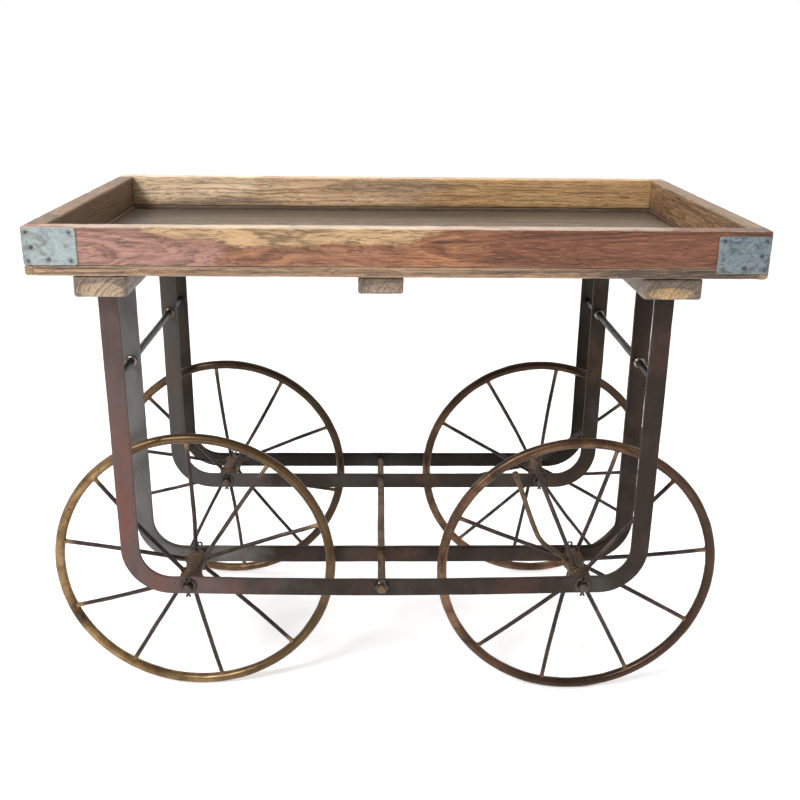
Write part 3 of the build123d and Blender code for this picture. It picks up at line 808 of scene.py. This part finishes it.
# ------------------------------------------------------------------ plates and nails


def separate_solids(node):
    """The points of each separate solid in a CAD group."""
    solid = bmesh.new()
    solid.from_mesh(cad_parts[node].data)
    seen, groups = set(), []
    bmesh.ops.remove_doubles(solid, verts=solid.verts, dist=1e-5)
    solid.verts.ensure_lookup_table()
    for start in solid.verts:
        if start.index in seen:
            continue
        group, queue = [], [start]
        seen.add(start.index)
        while queue:
            vertex = queue.pop()
            group.append(np.array(vertex.co))
            for edge in vertex.link_edges:
                other = edge.other_vert(vertex)
                if other.index not in seen:
                    seen.add(other.index)
                    queue.append(other)
        groups.append(np.array(group))
    solid.free()
    return groups


def separate_boxes(node):
    """The low and high corners of each separate solid in a CAD group."""
    return [(group.min(axis=0), group.max(axis=0)) for group in separate_solids(node)]


PLATES = tuple(f"{end}_{side}_corner_plate" for end in ("front", "back") for side in ("left", "right"))


def by_plate(point, plate):
    """Whether a nail's middle lies in or just behind a plate."""
    low, high = box(plate)
    return np.all(point > low - 0.012) and np.all(point < high + 0.012)


def plate_piece(name, node, nails, material, seed):
    """A thin hand-cut sheet: wavy, dented round its nails, its corners a little lifted."""
    low, high = box(node)
    centre = (low + high) / 2
    outward = math.copysign(1.0, centre[1])
    half_x, half_z = (high[0] - low[0]) / 2, (high[2] - low[2]) / 2
    outline = rounded_section(half_x, half_z, 5 * MM, 1.6 * MM)
    shrinks = np.linspace(0.02, 1.0, 22)
    thick = high[1] - low[1]
    rings = []
    for level, order in ((0.5, shrinks), (-0.5, shrinks[::-1])):
        for shrink in order:
            ring = np.zeros((len(outline), 3))
            ring[:, 0] = centre[0] + outline[:, 0] * shrink
            ring[:, 1] = centre[1] + outward * level * thick
            ring[:, 2] = centre[2] + outline[:, 1] * shrink
            rings.append(ring)
    piece = make_object(name, [loft(rings)])
    points = points_of(piece)
    flat = points.copy()
    flat[:, 1] = 0
    gap_x = half_x - np.abs(points[:, 0] - centre[0])
    gap_z = half_z - np.abs(points[:, 2] - centre[2])
    edge = np.exp(-np.minimum(gap_x, gap_z) / (1.6 * MM))
    dents = 0.55 * bumps(flat, 55, seed) + 0.3 * bumps(flat, 120, seed + 1) + 0.45
    # Painted shadow: a dark ring round each nail head, stored per point.
    grime = np.zeros(len(points))
    for spot_low, spot_high in nails:
        spot = (spot_low + spot_high) / 2
        distance = np.hypot(points[:, 0] - spot[0], points[:, 2] - spot[2])
        dents -= 0.75 * np.exp(-((distance / (5 * MM)) ** 2))
        grime = np.maximum(grime, np.exp(-((distance / (4.2 * MM)) ** 2)))
    ragged = bumps(flat, 130, seed + 2) * 0.5 * MM
    inward = (points - centre) * np.array([1, 0, 1])
    inward /= np.linalg.norm(inward, axis=1)[:, None] + 1e-9
    points = points + inward * (ragged * edge)[:, None]
    points[:, 1] += outward * np.clip(dents, -0.1, 1.4) * 0.8 * MM
    move_to(piece, points)
    give(piece, "wear", edge)
    give(piece, "grime", grime)
    return finish_piece(piece, CART, material, "zinc_plates", node)


def domed_nails(name, node, material, seed):
    """Hand-driven nails: low domes, each a little off square."""
    parts = []
    random = np.random.default_rng(seed)
    for low, high in separate_boxes(node):
        size = high - low
        across = int(np.argmax(size))
        centre = (low + high) / 2
        axis = np.zeros(3)
        head_end = high if centre[across] > middle("floor_plank_3")[across] else low
        if node == "floor_nails":
            head_end = high
        sign = 1.0 if head_end is high else -1.0
        axis[across] = sign
        tip = centre.copy()
        tip[across] = head_end[across]
        radius = np.sort(size)[0] / 2
        if node == "plate_nails":
            plate = [plate for plate in PLATES if by_plate(centre, plate)][0]
            off = np.abs(centre - middle(plate)) / (box(plate)[1] - box(plate)[0])
            radius *= 0.62 if min(off[0], off[2]) > 0.3 else 0.85
        tilt = axis + random.normal(0, 0.06, 3) * (1 - np.abs(axis))
        dome = ((-2.2, 0.5), (-2.0, 1.15), (-1.1, 1.2), (-0.5, 1.02), (-0.12, 0.7), (0.05, 0.3), (0.08, 0.05))
        profile = [(a * MM, r * radius) for a, r in dome]
        parts.append(lathe(profile, tip, tilt, 18))
    piece = make_object(name, parts)
    push(piece, bumps(points_of(piece), 500, seed) * 0.12 * MM)
    give(piece, "wear", 0.4)
    return finish_piece(piece, CART, material, "nails", node)


def plates_and_nails(nail_iron):
    # Left plates take the pale set and right ones the deep set: partly their own tone, partly painted light,
    # lighter on the lamp's side.
    pale_lit_zinc = ((0.27, 0.31, 0.31), (0.18, 0.22, 0.245), (0.13, 0.12, 0.09))
    deep_shaded_zinc = ((0.16, 0.195, 0.21), (0.06, 0.09, 0.13), (0.042, 0.042, 0.034))
    spots = separate_boxes("plate_nails")
    for number, node in enumerate(PLATES):
        corner = node.removesuffix("_corner_plate")
        near = [(low, high) for low, high in spots if by_plate((low + high) / 2, node)]
        material = zinc(f"{corner}_zinc", 3.0 + number, *(pale_lit_zinc if "left" in corner else deep_shaded_zinc))
        plate_piece(f"{corner}_plate", node, near, material, 80 + number)
    domed_nails("plate_nail_heads", "plate_nails", nail_iron, 5)
    domed_nails("floor_nail_heads", "floor_nails", nail_iron, 6)


# ------------------------------------------------------------------ iron frames

BAR_WIDTH = 32 * MM
BAR_THICKNESS = 6 * MM
BEND_RADIUS = 55 * MM  # on the inside of each bend


def arc(centre, radius, start, end, count):
    angles = np.radians(np.linspace(start, end, count))
    return [(centre[0] + radius * math.cos(a), centre[1] + radius * math.sin(a)) for a in angles]


def line(start, end, step):
    count = max(2, round(math.dist(start, end) / step))
    return [tuple(np.array(start) + (np.array(end) - np.array(start)) * i / count) for i in range(count)]


def bar_place(node):
    """Where a frame's bar is in Y, and whether its feet lie behind it."""
    low, high = box(node)
    feet_behind = ("outer" in node) == ("front" in node)
    return (low[1] + BAR_THICKNESS / 2 if feet_behind else high[1] - BAR_THICKNESS / 2), feet_behind


def u_path(low, high):
    """The middle line of a frame's bar, in X and Z, from the left foot to the right one."""
    half = BAR_WIDTH / 2
    bend = BEND_RADIUS + half
    left, right, bottom, top = low[0] + half, high[0] - half, low[2] + half, high[2]
    path = line((left, top), (left, bottom + bend), 9 * MM)
    path += arc((left + bend, bottom + bend), bend, 180, 270, 22)[:-1]
    path += line((left + bend, bottom), (right - bend, bottom), 9 * MM)
    path += arc((right - bend, bottom + bend), bend, 270, 360, 22)[:-1]
    path += line((right, bottom + bend), (right, top), 9 * MM)
    return path + [(right, top)]


def flat_bar(name, node, material, seed, sag):
    """A hand-bent flat bar with eased edges, its feet turned under the bearers."""
    low, high = box(node)
    width, thick = BAR_WIDTH, BAR_THICKNESS
    y, feet_behind = bar_place(node)
    path = u_path(low, high)
    section = rounded_section(width / 2, thick / 2, 1.1 * MM, 4 * MM, 3)
    flat = np.array([(x, y, z) for x, z in path])
    tangents = np.gradient(flat, axis=0)
    tangents /= np.linalg.norm(tangents, axis=1)[:, None]
    across = np.cross(tangents, (0.0, 1.0, 0.0))
    rings = flat[:, None, :] + section[:, 0][None, :, None] * across[:, None, :]
    rings[:, :, 1] += section[:, 1][None, :]
    foot_low, foot_high = low.copy(), high.copy()
    foot_low[2] = high[2] - thick
    foot_low[1], foot_high[1] = (y, high[1]) if feet_behind else (low[1], y)
    parts = [loft(rings)]
    for left in (True, False):
        a, b = foot_low.copy(), foot_high.copy()
        a[0], b[0] = (low[0], low[0] + width) if left else (high[0] - width, high[0])
        parts.append(loft(block_rings(a, b, 1, 1 * MM, 6 * MM, 6 * MM)))
    piece = make_object(name, parts)
    points = points_of(piece)
    edge = np.zeros(len(points))
    centre_line = np.abs(section[:, 0])
    bar_points = len(path) * len(section)
    edge[:bar_points] = np.tile(np.exp(-(width / 2 - centre_line) / (1.5 * MM)), len(path))
    nicks = 0.35 * edge * np.clip(bumps(points, 60, seed + 2), 0, 1)
    push(piece, (0.28 * bumps(points, 22, seed) + 0.12 * bumps(points, 70, seed + 1) - nicks) * MM)
    points = points_of(piece)
    on_bar = np.clip((low[2] + width * 1.6 - points[:, 2]) / (width * 0.6), 0, 1)
    reach = (points[:, 0] - (low[0] + high[0]) / 2) / ((high[0] - low[0]) / 2)
    points[:, 2] -= sag * on_bar * np.clip(1 - reach**2 * 1.9, 0, 1)
    move_to(piece, points)
    give(piece, "wear", edge)
    # Painted light: 1 on the left part of the bar, the side the lamp falls on, for the lighter tone there.
    give(piece, "painted_side_light", np.clip((-0.25 - reach) / 0.6, 0, 1))
    return finish_piece(piece, CART, material, "flat_iron", node)


def frames():
    """The four bars. A look is its base, brown and grey tones, brown share, sag and the lighter tone
    painted towards the left as painted light on the lamp's side; the outer two are lightened more."""
    looks = {
        "front_outer_frame": (
            (0.024, 0.017, 0.013), (0.046, 0.025, 0.018), (0.05, 0.046, 0.039),
            0.5, 5, (0.122, 0.062, 0.052),
        ),
        "front_inner_frame": (
            (0.024, 0.016, 0.012), (0.052, 0.028, 0.019), (0.04, 0.036, 0.031),
            0.5, 1, (0.135, 0.13, 0.122),
        ),
        "rear_inner_frame": (
            (0.026, 0.018, 0.013), (0.055, 0.033, 0.021), (0.042, 0.04, 0.033),
            0.5, 1, (0.068, 0.06, 0.054),
        ),
        "rear_outer_frame": (
            (0.018, 0.013, 0.009), (0.036, 0.023, 0.014), (0.03, 0.028, 0.023),
            0.4, 0, (0.034, 0.028, 0.022),
        ),
    }
    for number, (node, (base, brown, grey, share, sag, painted_lit_tone)) in enumerate(looks.items()):
        material = iron(f"{node}_iron", 2.0 + 1.7 * number, base, brown, grey, share, painted_lit_tone=painted_lit_tone)
        flat_bar(f"{node}_bar", node, material, 100 + number, sag * MM)


def tie_rods(rod_rust, rod_iron):
    """Rods through the frames, slightly bowed, with welds where they pass a bar."""
    bars = [bar_place(name)[0] for name in FRAME_NAMES]
    faces = [(y - BAR_THICKNESS / 2, y + BAR_THICKNESS / 2) for y in bars]
    for number, node in enumerate(("centre_tie_rod", "left_tie_rod", "right_tie_rod")):
        low, high = box(node)
        centre = (low + high) / 2
        radius = (high[0] - low[0]) / 2
        ys = np.linspace(low[1] + radius * 0.2, high[1] - radius * 0.2, 90)
        path = np.array([(centre[0], y, centre[2]) for y in ys])
        free = np.clip(np.minimum(ys - faces[1][1], faces[2][0] - ys) / 0.12, 0, 1)
        path[:, 0] += 0.9 * MM * free * np.sin(ys * 9 + number)
        path[:, 2] += 0.8 * MM * free * np.sin(ys * 7 + 2 * number)
        radii = radius * (1 + 0.03 * bumps(path, 45, 200 + number))
        parts = [tube(path, radii, 20)]
        if node == "centre_tie_rod":
            for front, rear in faces[1:3]:
                parts.append(weld((centre[0], front, centre[2]), (0, 1, 0), radius, 1.6 * MM, 210))
                parts.append(weld((centre[0], rear, centre[2]), (0, 1, 0), radius, 1.6 * MM, 211))
        else:
            for y in (faces[0][1], faces[3][0], faces[1][1], faces[2][1]):
                parts.append(weld((centre[0], y, centre[2]), (0, 1, 0), radius, 1.8 * MM, 212 + number))
        piece = make_object(f"{node}_bar", parts)
        push(piece, bumps(points_of(piece), 260, 220 + number) * 0.16 * MM)
        give(piece, "wear", 0.0)
        finish_piece(piece, CART, rod_rust if number == 0 else rod_iron, "rods", node)


# ------------------------------------------------------------------ nuts, washers, pins


def hex_nut(low, high, hole):
    """A six-sided nut with chamfered ends, its hole left open."""
    centre = (low + high) / 2
    length = high[1] - low[1]
    size = (high[0] - low[0]) / 2
    rings = []
    for along, scale in ((-0.5, 0.86), (-0.36, 1.0), (0.36, 1.0), (0.5, 0.86)):
        ring = []
        y = centre[1] + along * length
        for corner in range(6):
            for part in (0.04, 0.35, 0.65, 0.96):
                a, b = math.radians(60 * corner), math.radians(60 * corner + 60)
                x = math.cos(a) * (1 - part) + math.cos(b) * part
                z = math.sin(a) * (1 - part) + math.sin(b) * part
                limit = min(1.0, scale / math.hypot(x, z)) if scale < 1 else 1.0
                ring.append((centre[0] + size * x * limit, y, centre[2] + size * z * limit))
        rings.append(ring)
    for along in (0.5, 0.0, -0.5):
        ring = []
        y = centre[1] + along * length
        for i in range(24):
            angle = math.radians(15 * i + 2.4)
            ring.append((centre[0] + hole * math.cos(angle), y, centre[2] + hole * math.sin(angle)))
        rings.append(ring)
    points, faces = loft(rings)
    faces = faces[:-2]
    last = (len(rings) - 1) * 24
    for k in range(24):
        m = (k + 1) % 24
        faces.append((last + k, last + m, m, k))
    return points, faces


# A washer's section in parts of its half thickness and of its radius
WASHER_LOOP = (
    (-0.8, 0.52), (-1.0, 0.56), (-1.0, 0.84), (-0.4, 0.93),
    (0.4, 0.93), (1.0, 0.84), (1.0, 0.56), (0.8, 0.52),
)


def fixings(dark_iron, steel):
    """Nuts, collars, washers and split pins."""
    rod_radius = (box("centre_tie_rod")[1][0] - box("centre_tie_rod")[0][0]) / 2
    nuts = [hex_nut(low, high, rod_radius * 0.99) for low, high in separate_boxes("centre_rod_nuts")]
    piece = make_object("centre_rod_nuts_turned", nuts, smooth=False)
    give(piece, "wear", 0.5)
    finish_piece(piece, CART, dark_iron, "fixings", "centre_rod_nuts")

    collars = []
    for low, high in separate_boxes("side_rod_collars"):
        centre, half, radius = (low + high) / 2, (high[1] - low[1]) / 2, (high[0] - low[0]) / 2
        hole = radius * 0.6
        loop = (
            (-half, hole), (-half, radius * 0.6), (-half * 0.85, radius * 0.78), (-half * 0.5, radius * 0.93),
            (0.0, radius * 1.01), (half * 0.6, radius * 1.02), (half, radius * 0.98), (half, hole),
        )
        collars.append(pierced(loop, centre, (0, 1, 0), 28))
    piece = make_object("side_rod_collars_domed", collars)
    push(piece, bumps(points_of(piece), 200, 31) * 0.14 * MM)
    give(piece, "wear", 0.3)
    finish_piece(piece, CART, steel, "fixings", "side_rod_collars")

    for node, seed in (("axle_washers", 41), ("hub_washers", 42)):
        parts = []
        for number, (low, high) in enumerate(separate_boxes(node)):
            centre, half, radius = (low + high) / 2, (high[1] - low[1]) / 2, (high[0] - low[0]) / 2
            loop = [(half * along, radius * out) for along, out in WASHER_LOOP]
            parts.append(pierced(loop, centre, (0.02 * math.sin(number), 1, 0.03 * math.cos(number * 2)), 36))
        piece = make_object(f"{node}_turned", parts)
        push(piece, bumps(points_of(piece), 150, seed) * 0.25 * MM)
        give(piece, "wear", 0.6)
        finish_piece(piece, CART, dark_iron, "fixings", node)

    pins = []
    for low, high in separate_boxes("split_pins"):
        centre = (low + high) / 2
        radius = (high[1] - low[1]) / 2
        eye = high[2] - 5.4 * MM
        for side in (-1, 1):
            path = [(centre[0] + side * 0.6 * MM, centre[1], eye + 5 * MM)]
            bends = ((side * 2.6, -0.8), (side * 3.8, -3.2), (side * 3.2, -5.8), (side * 1.1, -8.6))
            path += [(centre[0] + x * MM * 1.05, centre[1], eye + (5 + z) * MM) for x, z in bends]
            heights = np.linspace(eye - 6 * MM, low[2] + 7 * MM, 5)
            path += [(centre[0] + side * MM, centre[1], z) for z in heights]
            path.append((centre[0] + side * 2.0 * MM, centre[1], low[2] + 3.5 * MM))
            path.append((centre[0] + side * 3.4 * MM, centre[1], low[2] + 1.2 * MM))
            pins.append(tube(path, radius * 0.95, 10))
    piece = make_object("split_pins_bent", pins)
    give(piece, "wear", 0.3)
    finish_piece(piece, CART, dark_iron, "fixings", "split_pins")

    for number, name in enumerate(WHEEL_NAMES):
        node = f"{name}_axle"
        low, high = box(node)
        centre, radius = (low + high) / 2, (high[0] - low[0]) / 2
        half = (high[1] - low[1]) / 2
        profile = [(-half, 0.2 * radius), (-half + 0.3 * MM, 0.62 * radius), (-half + 2.2 * MM, radius)]
        profile += [(y, radius) for y in np.linspace(-half + 5 * MM, half - 5 * MM, 24)]
        profile += [(half - 2.2 * MM, radius), (half - 0.3 * MM, 0.62 * radius), (half, 0.2 * radius)]
        piece = make_object(f"{name}_axle_turned", [lathe(profile, centre, (0, 1, 0), 28)])
        ends = np.clip((np.abs(points_of(piece)[:, 1] - centre[1]) - half + 14 * MM) / (14 * MM), 0, 1)
        push(piece, bumps(points_of(piece), 200, 50 + number) * 0.3 * MM * ends)
        give(piece, "wear", ends)
        finish_piece(piece, CART, dark_iron, "axles", node)


# ------------------------------------------------------------------ wheels

COLLAR_OFFSET = 30 * MM  # from the hub's middle


def spoke_lines(node):
    """Each straight spoke's ends, from the hub outwards, read from its CAD solid."""
    centre = middle(node.replace("spokes", "rim"))
    lines = []
    for group in separate_solids(node):
        away = np.hypot(group[:, 0] - centre[0], group[:, 2] - centre[2])
        near = group[away < away.min() + 7 * MM].mean(axis=0)
        far = group[away > away.max() - 7 * MM].mean(axis=0)
        lines.append((near, far))
    lines.sort(key=lambda ends: math.atan2(ends[1][2] - centre[2], ends[1][0] - centre[0]))
    return centre, lines


def straight_spoke(near, far, radius, bend, seed):
    """A rod with a small random bow; its ends run on a little into the hub and the rim."""
    direction = (far - near) / np.linalg.norm(far - near)
    near = near - direction * 3 * MM
    far = far + direction * 5 * MM
    parts = np.linspace(0, 1, 26)
    path = near + (far - near) * parts[:, None]
    side = np.cross(direction, (0.0, 1.0, 0.0))
    bow = bend * np.sin(parts * math.pi) + 0.5 * MM * bumps(path, 26, seed) * np.sin(parts * math.pi)
    path = path + side * bow[:, None]
    radii = radius * (1 + 0.05 * bumps(path, 60, seed + 1))
    radii = radii * (1 + 0.35 * np.clip((parts - 0.955) / 0.045, 0, 1))
    return tube(path, radii, 14)


def loose_spoke(body):
    """The spoke that has come off its rim: rubbed golden, with a broken weld on its end."""
    node = "front_right_loose_spoke"
    hub_middle = middle("front_right_hub")
    start = np.array([hub_middle[0] - 12 * MM, hub_middle[1] + 17 * MM, hub_middle[2] + 7 * MM])
    bend = np.array([hub_middle[0] - 67 * MM, hub_middle[1] + 10 * MM, hub_middle[2] + 48 * MM])
    end = np.array([hub_middle[0] - 122 * MM, hub_middle[1], hub_middle[2] + 190 * MM])
    path = [start + (bend - start) * part for part in np.linspace(0, 0.72, 8)]
    first, last = path[-1], bend + (end - bend) * 0.14
    for part in np.linspace(0.12, 1, 8):
        path.append(first * (1 - part) ** 2 + 2 * bend * part * (1 - part) + last * part**2)
    path += [last + (end - last) * part for part in np.linspace(0.06, 1, 22)]
    path = np.array(path)
    path[:, 0] += 0.8 * MM * np.sin(np.linspace(0, 9, len(path)))
    radii = 4.5 * MM * (1 + 0.05 * bumps(path, 60, 77))
    radii[-3:] *= (1.15, 1.3, 1.2)
    tip = weld(end, end - last, 4.2 * MM, 1.4 * MM, 78, 16)
    piece = make_object("loose_spoke_rod", [tube(path, radii, 16), tip])
    push(piece, bumps(points_of(piece), 300, 79) * 0.18 * MM)
    worn_rust = rust("loose_spoke_rust", 9.0, (0.17, 0.105, 0.05), (0.04, 0.025, 0.014))
    finish_piece(piece, body, worn_rust, "spokes", node)


def wheel(name, rim_tones, shaded_side, gloss, seed):
    """A wheel's rim, spokes and hub; the rim gets painted shade, darkest towards its shaded side."""
    body = f"{name}_wheel"
    rim_low, rim_high = box(f"{name}_rim")
    rod = (rim_high[1] - rim_low[1]) / 2
    centre, lines = spoke_lines(f"{name}_spokes")
    radius = (rim_high[0] - rim_low[0]) / 2 - rod

    angles = np.linspace(0, 2 * math.pi, 260, endpoint=False)
    path = np.array([centre + radius * np.array([math.cos(a), 0, math.sin(a)]) for a in angles])
    radii = rod * (1 + 0.022 * bumps(path, 26, seed) - 0.012)
    rim_parts = [tube(path, radii, 24, closed=True)]
    joint = math.radians(200 + 40 * seed)
    spot = centre + np.array([radius * math.cos(joint), 0, radius * math.sin(joint)])
    rim_parts.append(weld(spot, (-math.sin(joint), 0, math.cos(joint)), rod * 0.94, 1.2 * MM, seed + 5, 28))
    rim = make_object(f"{name}_rim_ring", rim_parts)
    points = points_of(rim)
    push(rim, (0.28 * bumps(points, 55, seed + 2) + 0.12 * bumps(points, 190, seed + 3)) * MM)
    turned = np.arctan2(points[:, 2] - centre[2], points[:, 0] - centre[0])
    # Painted shade: 1 on the rim's side away from the lamp, fading round the ring.
    give(rim, "painted_side_light", np.clip(0.5 + 0.8 * np.cos(turned - math.radians(shaded_side)), 0, 1))
    skin = patina(f"{name}_rim_patina", 2.0 * seed, *rim_tones, gloss)
    finish_piece(rim, body, skin, "rims", f"{name}_rim")

    spoke_parts, outs = [], []
    hub_welds = []
    for number, (near, far) in enumerate(lines):
        bend = 2.6 * MM * math.sin(number * 2.4 + seed)
        part = straight_spoke(near, far, 3.9 * MM, bend, seed * 20 + number)
        spoke_parts.append(part)
        outs.append(np.hypot(part[0][:, 0] - centre[0], part[0][:, 2] - centre[2]) / (radius - rod))
        direction = (far - near) / np.linalg.norm(far - near)
        bead = weld(far + direction * 0.5 * MM, direction, 4.2 * MM, 1.9 * MM, seed * 30 + number, 16)
        spoke_parts.append(bead)
        outs.append(np.ones(len(bead[0])))
        bead = weld(near + direction * 1.0 * MM, direction, 4.2 * MM, 2.4 * MM, seed * 40 + number, 16)
        hub_welds.append(bead)
    piece = make_object(f"{name}_spoke_rods", spoke_parts)
    give(piece, "out", np.concatenate(outs))
    push(piece, bumps(points_of(piece), 300, seed + 9) * 0.14 * MM)
    tip = times(0.85, rim_tones[0])
    finish_piece(piece, body, spoke_iron(f"{name}_spoke_iron", seed * 1.0, tip), "spokes", f"{name}_spokes")

    if name == "front_right":
        loose_spoke(body)

    hub_low, hub_high = box(f"{name}_hub")
    hub_centre = (hub_low + hub_high) / 2
    half = (hub_high[1] - hub_low[1]) / 2
    collar = (hub_high[0] - hub_low[0]) / 2
    tube_radius, bore = collar * 0.82, collar * 0.42
    loop = [(-half, bore), (-half, tube_radius * 0.93), (-half + 1.5 * MM, tube_radius)]
    collar_section = (
        (-8.5, tube_radius), (-7.2, collar * 0.98), (-3, collar),
        (3, collar), (7.2, collar * 0.98), (8.5, tube_radius),
    )
    for side in (-1, 1):
        loop += [(side * COLLAR_OFFSET + along * MM, out) for along, out in collar_section]
        if side == -1:
            loop += [(y * MM, tube_radius * 0.97) for y in (-14, -5, 5, 14)]
    loop += [(half - 1.5 * MM, tube_radius), (half, tube_radius * 0.93), (half, bore)]
    hub = make_object(f"{name}_hub_turned", [pierced(loop, hub_centre, (0, 1, 0), 48)] + hub_welds)
    points = points_of(hub)
    away = np.hypot(points[:, 0] - centre[0], points[:, 2] - centre[2])
    rough = np.where(away > bore + 2 * MM, 1.0, 0.0)
    push(hub, rough * (0.5 * bumps(points, 130, seed + 6) + 0.3 * bumps(points, 330, seed + 7)) * MM)
    give(hub, "wear", 0.3)
    finish_piece(hub, body, rust(f"{name}_hub_rust", seed * 1.0), "hubs", f"{name}_hub")


def wheels():
    golden = ((0.37, 0.235, 0.11), (0.18, 0.107, 0.045), (0.045, 0.024, 0.01))
    copper = ((0.24, 0.13, 0.07), (0.095, 0.049, 0.026), (0.028, 0.015, 0.009))
    brown = ((0.26, 0.15, 0.072), (0.11, 0.06, 0.029), (0.024, 0.014, 0.009))
    wheel("front_left", golden, 20, 0.3, 1)
    wheel("front_right", copper, -40, 0.3, 2)
    wheel("rear_left", brown, 35, 0.34, 3)
    wheel("rear_right", copper, 60, 0.32, 4)


# ------------------------------------------------------------------ what stays as CAD


def hidden_fixings(dark_iron, nail_iron):
    """Screws and nails under the tray keep their CAD shape and take the iron's look."""
    for node, material in (("foot_screws", dark_iron), ("board_nails", nail_iron), ("base_nails", nail_iron)):
        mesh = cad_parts[node].data
        mesh.materials.clear()
        mesh.materials.append(material)


# ------------------------------------------------------------------ camera, lights, floor

CAMERA_PLACE = (-0.0195, -1.852, 1.1565)
CAMERA_DOWN = 19.39
CAMERA_RIGHT = 1.47
CAMERA_ROLL = 0.63
FOCAL_PIXELS = 1003.9
IMAGE_WIDTH = 800.0
SENSOR = 36.0
FLOOR_GLOW = 0.38


def camera():
    data = bpy.data.cameras.new("camera")
    data.sensor_width = SENSOR
    data.lens = SENSOR * FOCAL_PIXELS / IMAGE_WIDTH
    made = bpy.data.objects.new("camera", data)
    turn = Matrix.Rotation(math.radians(-CAMERA_RIGHT), 4, "Z")
    tilt = Matrix.Rotation(math.radians(90 - CAMERA_DOWN), 4, "X")
    roll = Matrix.Rotation(math.radians(CAMERA_ROLL), 4, "Z")
    made.matrix_world = Matrix.Translation(CAMERA_PLACE) @ turn @ tilt @ roll
    SCENE.collection.objects.link(made)
    SCENE.camera = made


def area_light(name, place, target, size, power, colour=(1, 1, 1)):
    data = bpy.data.lights.new(name, "AREA")
    data.shape = "RECTANGLE"
    data.size, data.size_y = size
    data.energy = power
    data.color = colour
    made = bpy.data.objects.new(name, data)
    made.location = place
    made.rotation_euler = (Vector(target) - Vector(place)).to_track_quat("-Z", "Y").to_euler()
    SCENE.collection.objects.link(made)


def studio():
    """A pale floor that glows a little, a bright backdrop and a darker room in front."""
    world = bpy.data.worlds.new("studio")
    world.use_nodes = True
    tree = world.node_tree
    direction = tree.nodes.new("ShaderNodeTexCoord")
    split = tree.nodes.new("ShaderNodeSeparateXYZ")
    span = tree.nodes.new("ShaderNodeMapRange")
    background = tree.nodes["Background"]
    for socket, value in zip(span.inputs[1:5], (-0.6, 0.35, 0.22, 1.0)):
        socket.default_value = value
    tree.links.new(direction.outputs["Generated"], split.inputs[0])
    tree.links.new(split.outputs["Y"], span.inputs[0])
    tree.links.new(span.outputs[0], background.inputs["Strength"])
    background.inputs["Color"].default_value = (1.0, 1.0, 1.0, 1.0)
    SCENE.world = world
    centre = (0, 0, 0.6)
    area_light("key", (-1.9, -2.6, 2.9), centre, (1.0, 1.0), 132)
    area_light("fill", (2.4, -2.0, 1.4), centre, (1.2, 1.2), 12)
    area_light("top", (0.2, 0.2, 3.0), centre, (1.6, 1.2), 55)
    floor = bpy.data.objects.new("floor", bpy.data.meshes.new("floor"))
    corners = [(-14, -14, 0), (14, -14, 0), (14, 14, 0), (-14, 14, 0)]
    floor.data.from_pydata(corners, [], [(0, 1, 2, 3)])
    g = Graph("floor_paint")
    speck = g.noise(g.coordinates, 6.0, 3.0)
    colour = g.mix(speck, (0.84, 0.84, 0.84), (0.88, 0.88, 0.88))
    g.shader.inputs["Emission Color"].default_value = (1.0, 1.0, 1.0, 1.0)
    g.shader.inputs["Emission Strength"].default_value = FLOOR_GLOW
    floor.data.materials.append(g.done(colour, 0.7, g.bump(speck, 0.0005, 0.1)))
    SCENE.collection.objects.link(floor)
    SCENE.view_settings.view_transform = "Standard"


def build():
    looks = {
        "nail_iron": (31.0, (0.06, 0.055, 0.05), (0.1, 0.07, 0.05), (0.14, 0.15, 0.16), 0.3, 0.38),
        "fixing_iron": (37.0, (0.05, 0.038, 0.03), (0.09, 0.056, 0.036), (0.09, 0.08, 0.07), 0.5, 0.3, 0.65),
        "rod_iron": (43.0, (0.011, 0.009, 0.006), (0.026, 0.017, 0.01), (0.02, 0.018, 0.014), 0.4, 0.38, 0.2),
        "worn_steel": (47.0, (0.2, 0.185, 0.165), (0.13, 0.1, 0.075), (0.3, 0.29, 0.27), 0.35, 0.28, 0.85),
    }
    nail_iron, dark_iron, rod_iron, steel = (iron(name, *look) for name, look in looks.items())
    rod_rust = rust("rod_rust", 41.0, (0.2, 0.12, 0.055), (0.05, 0.031, 0.017))
    tray()
    plates_and_nails(nail_iron)
    frames()
    tie_rods(rod_rust, rod_iron)
    fixings(dark_iron, steel)
    wheels()
    hidden_fixings(dark_iron, nail_iron)
    camera()
    studio()


build()
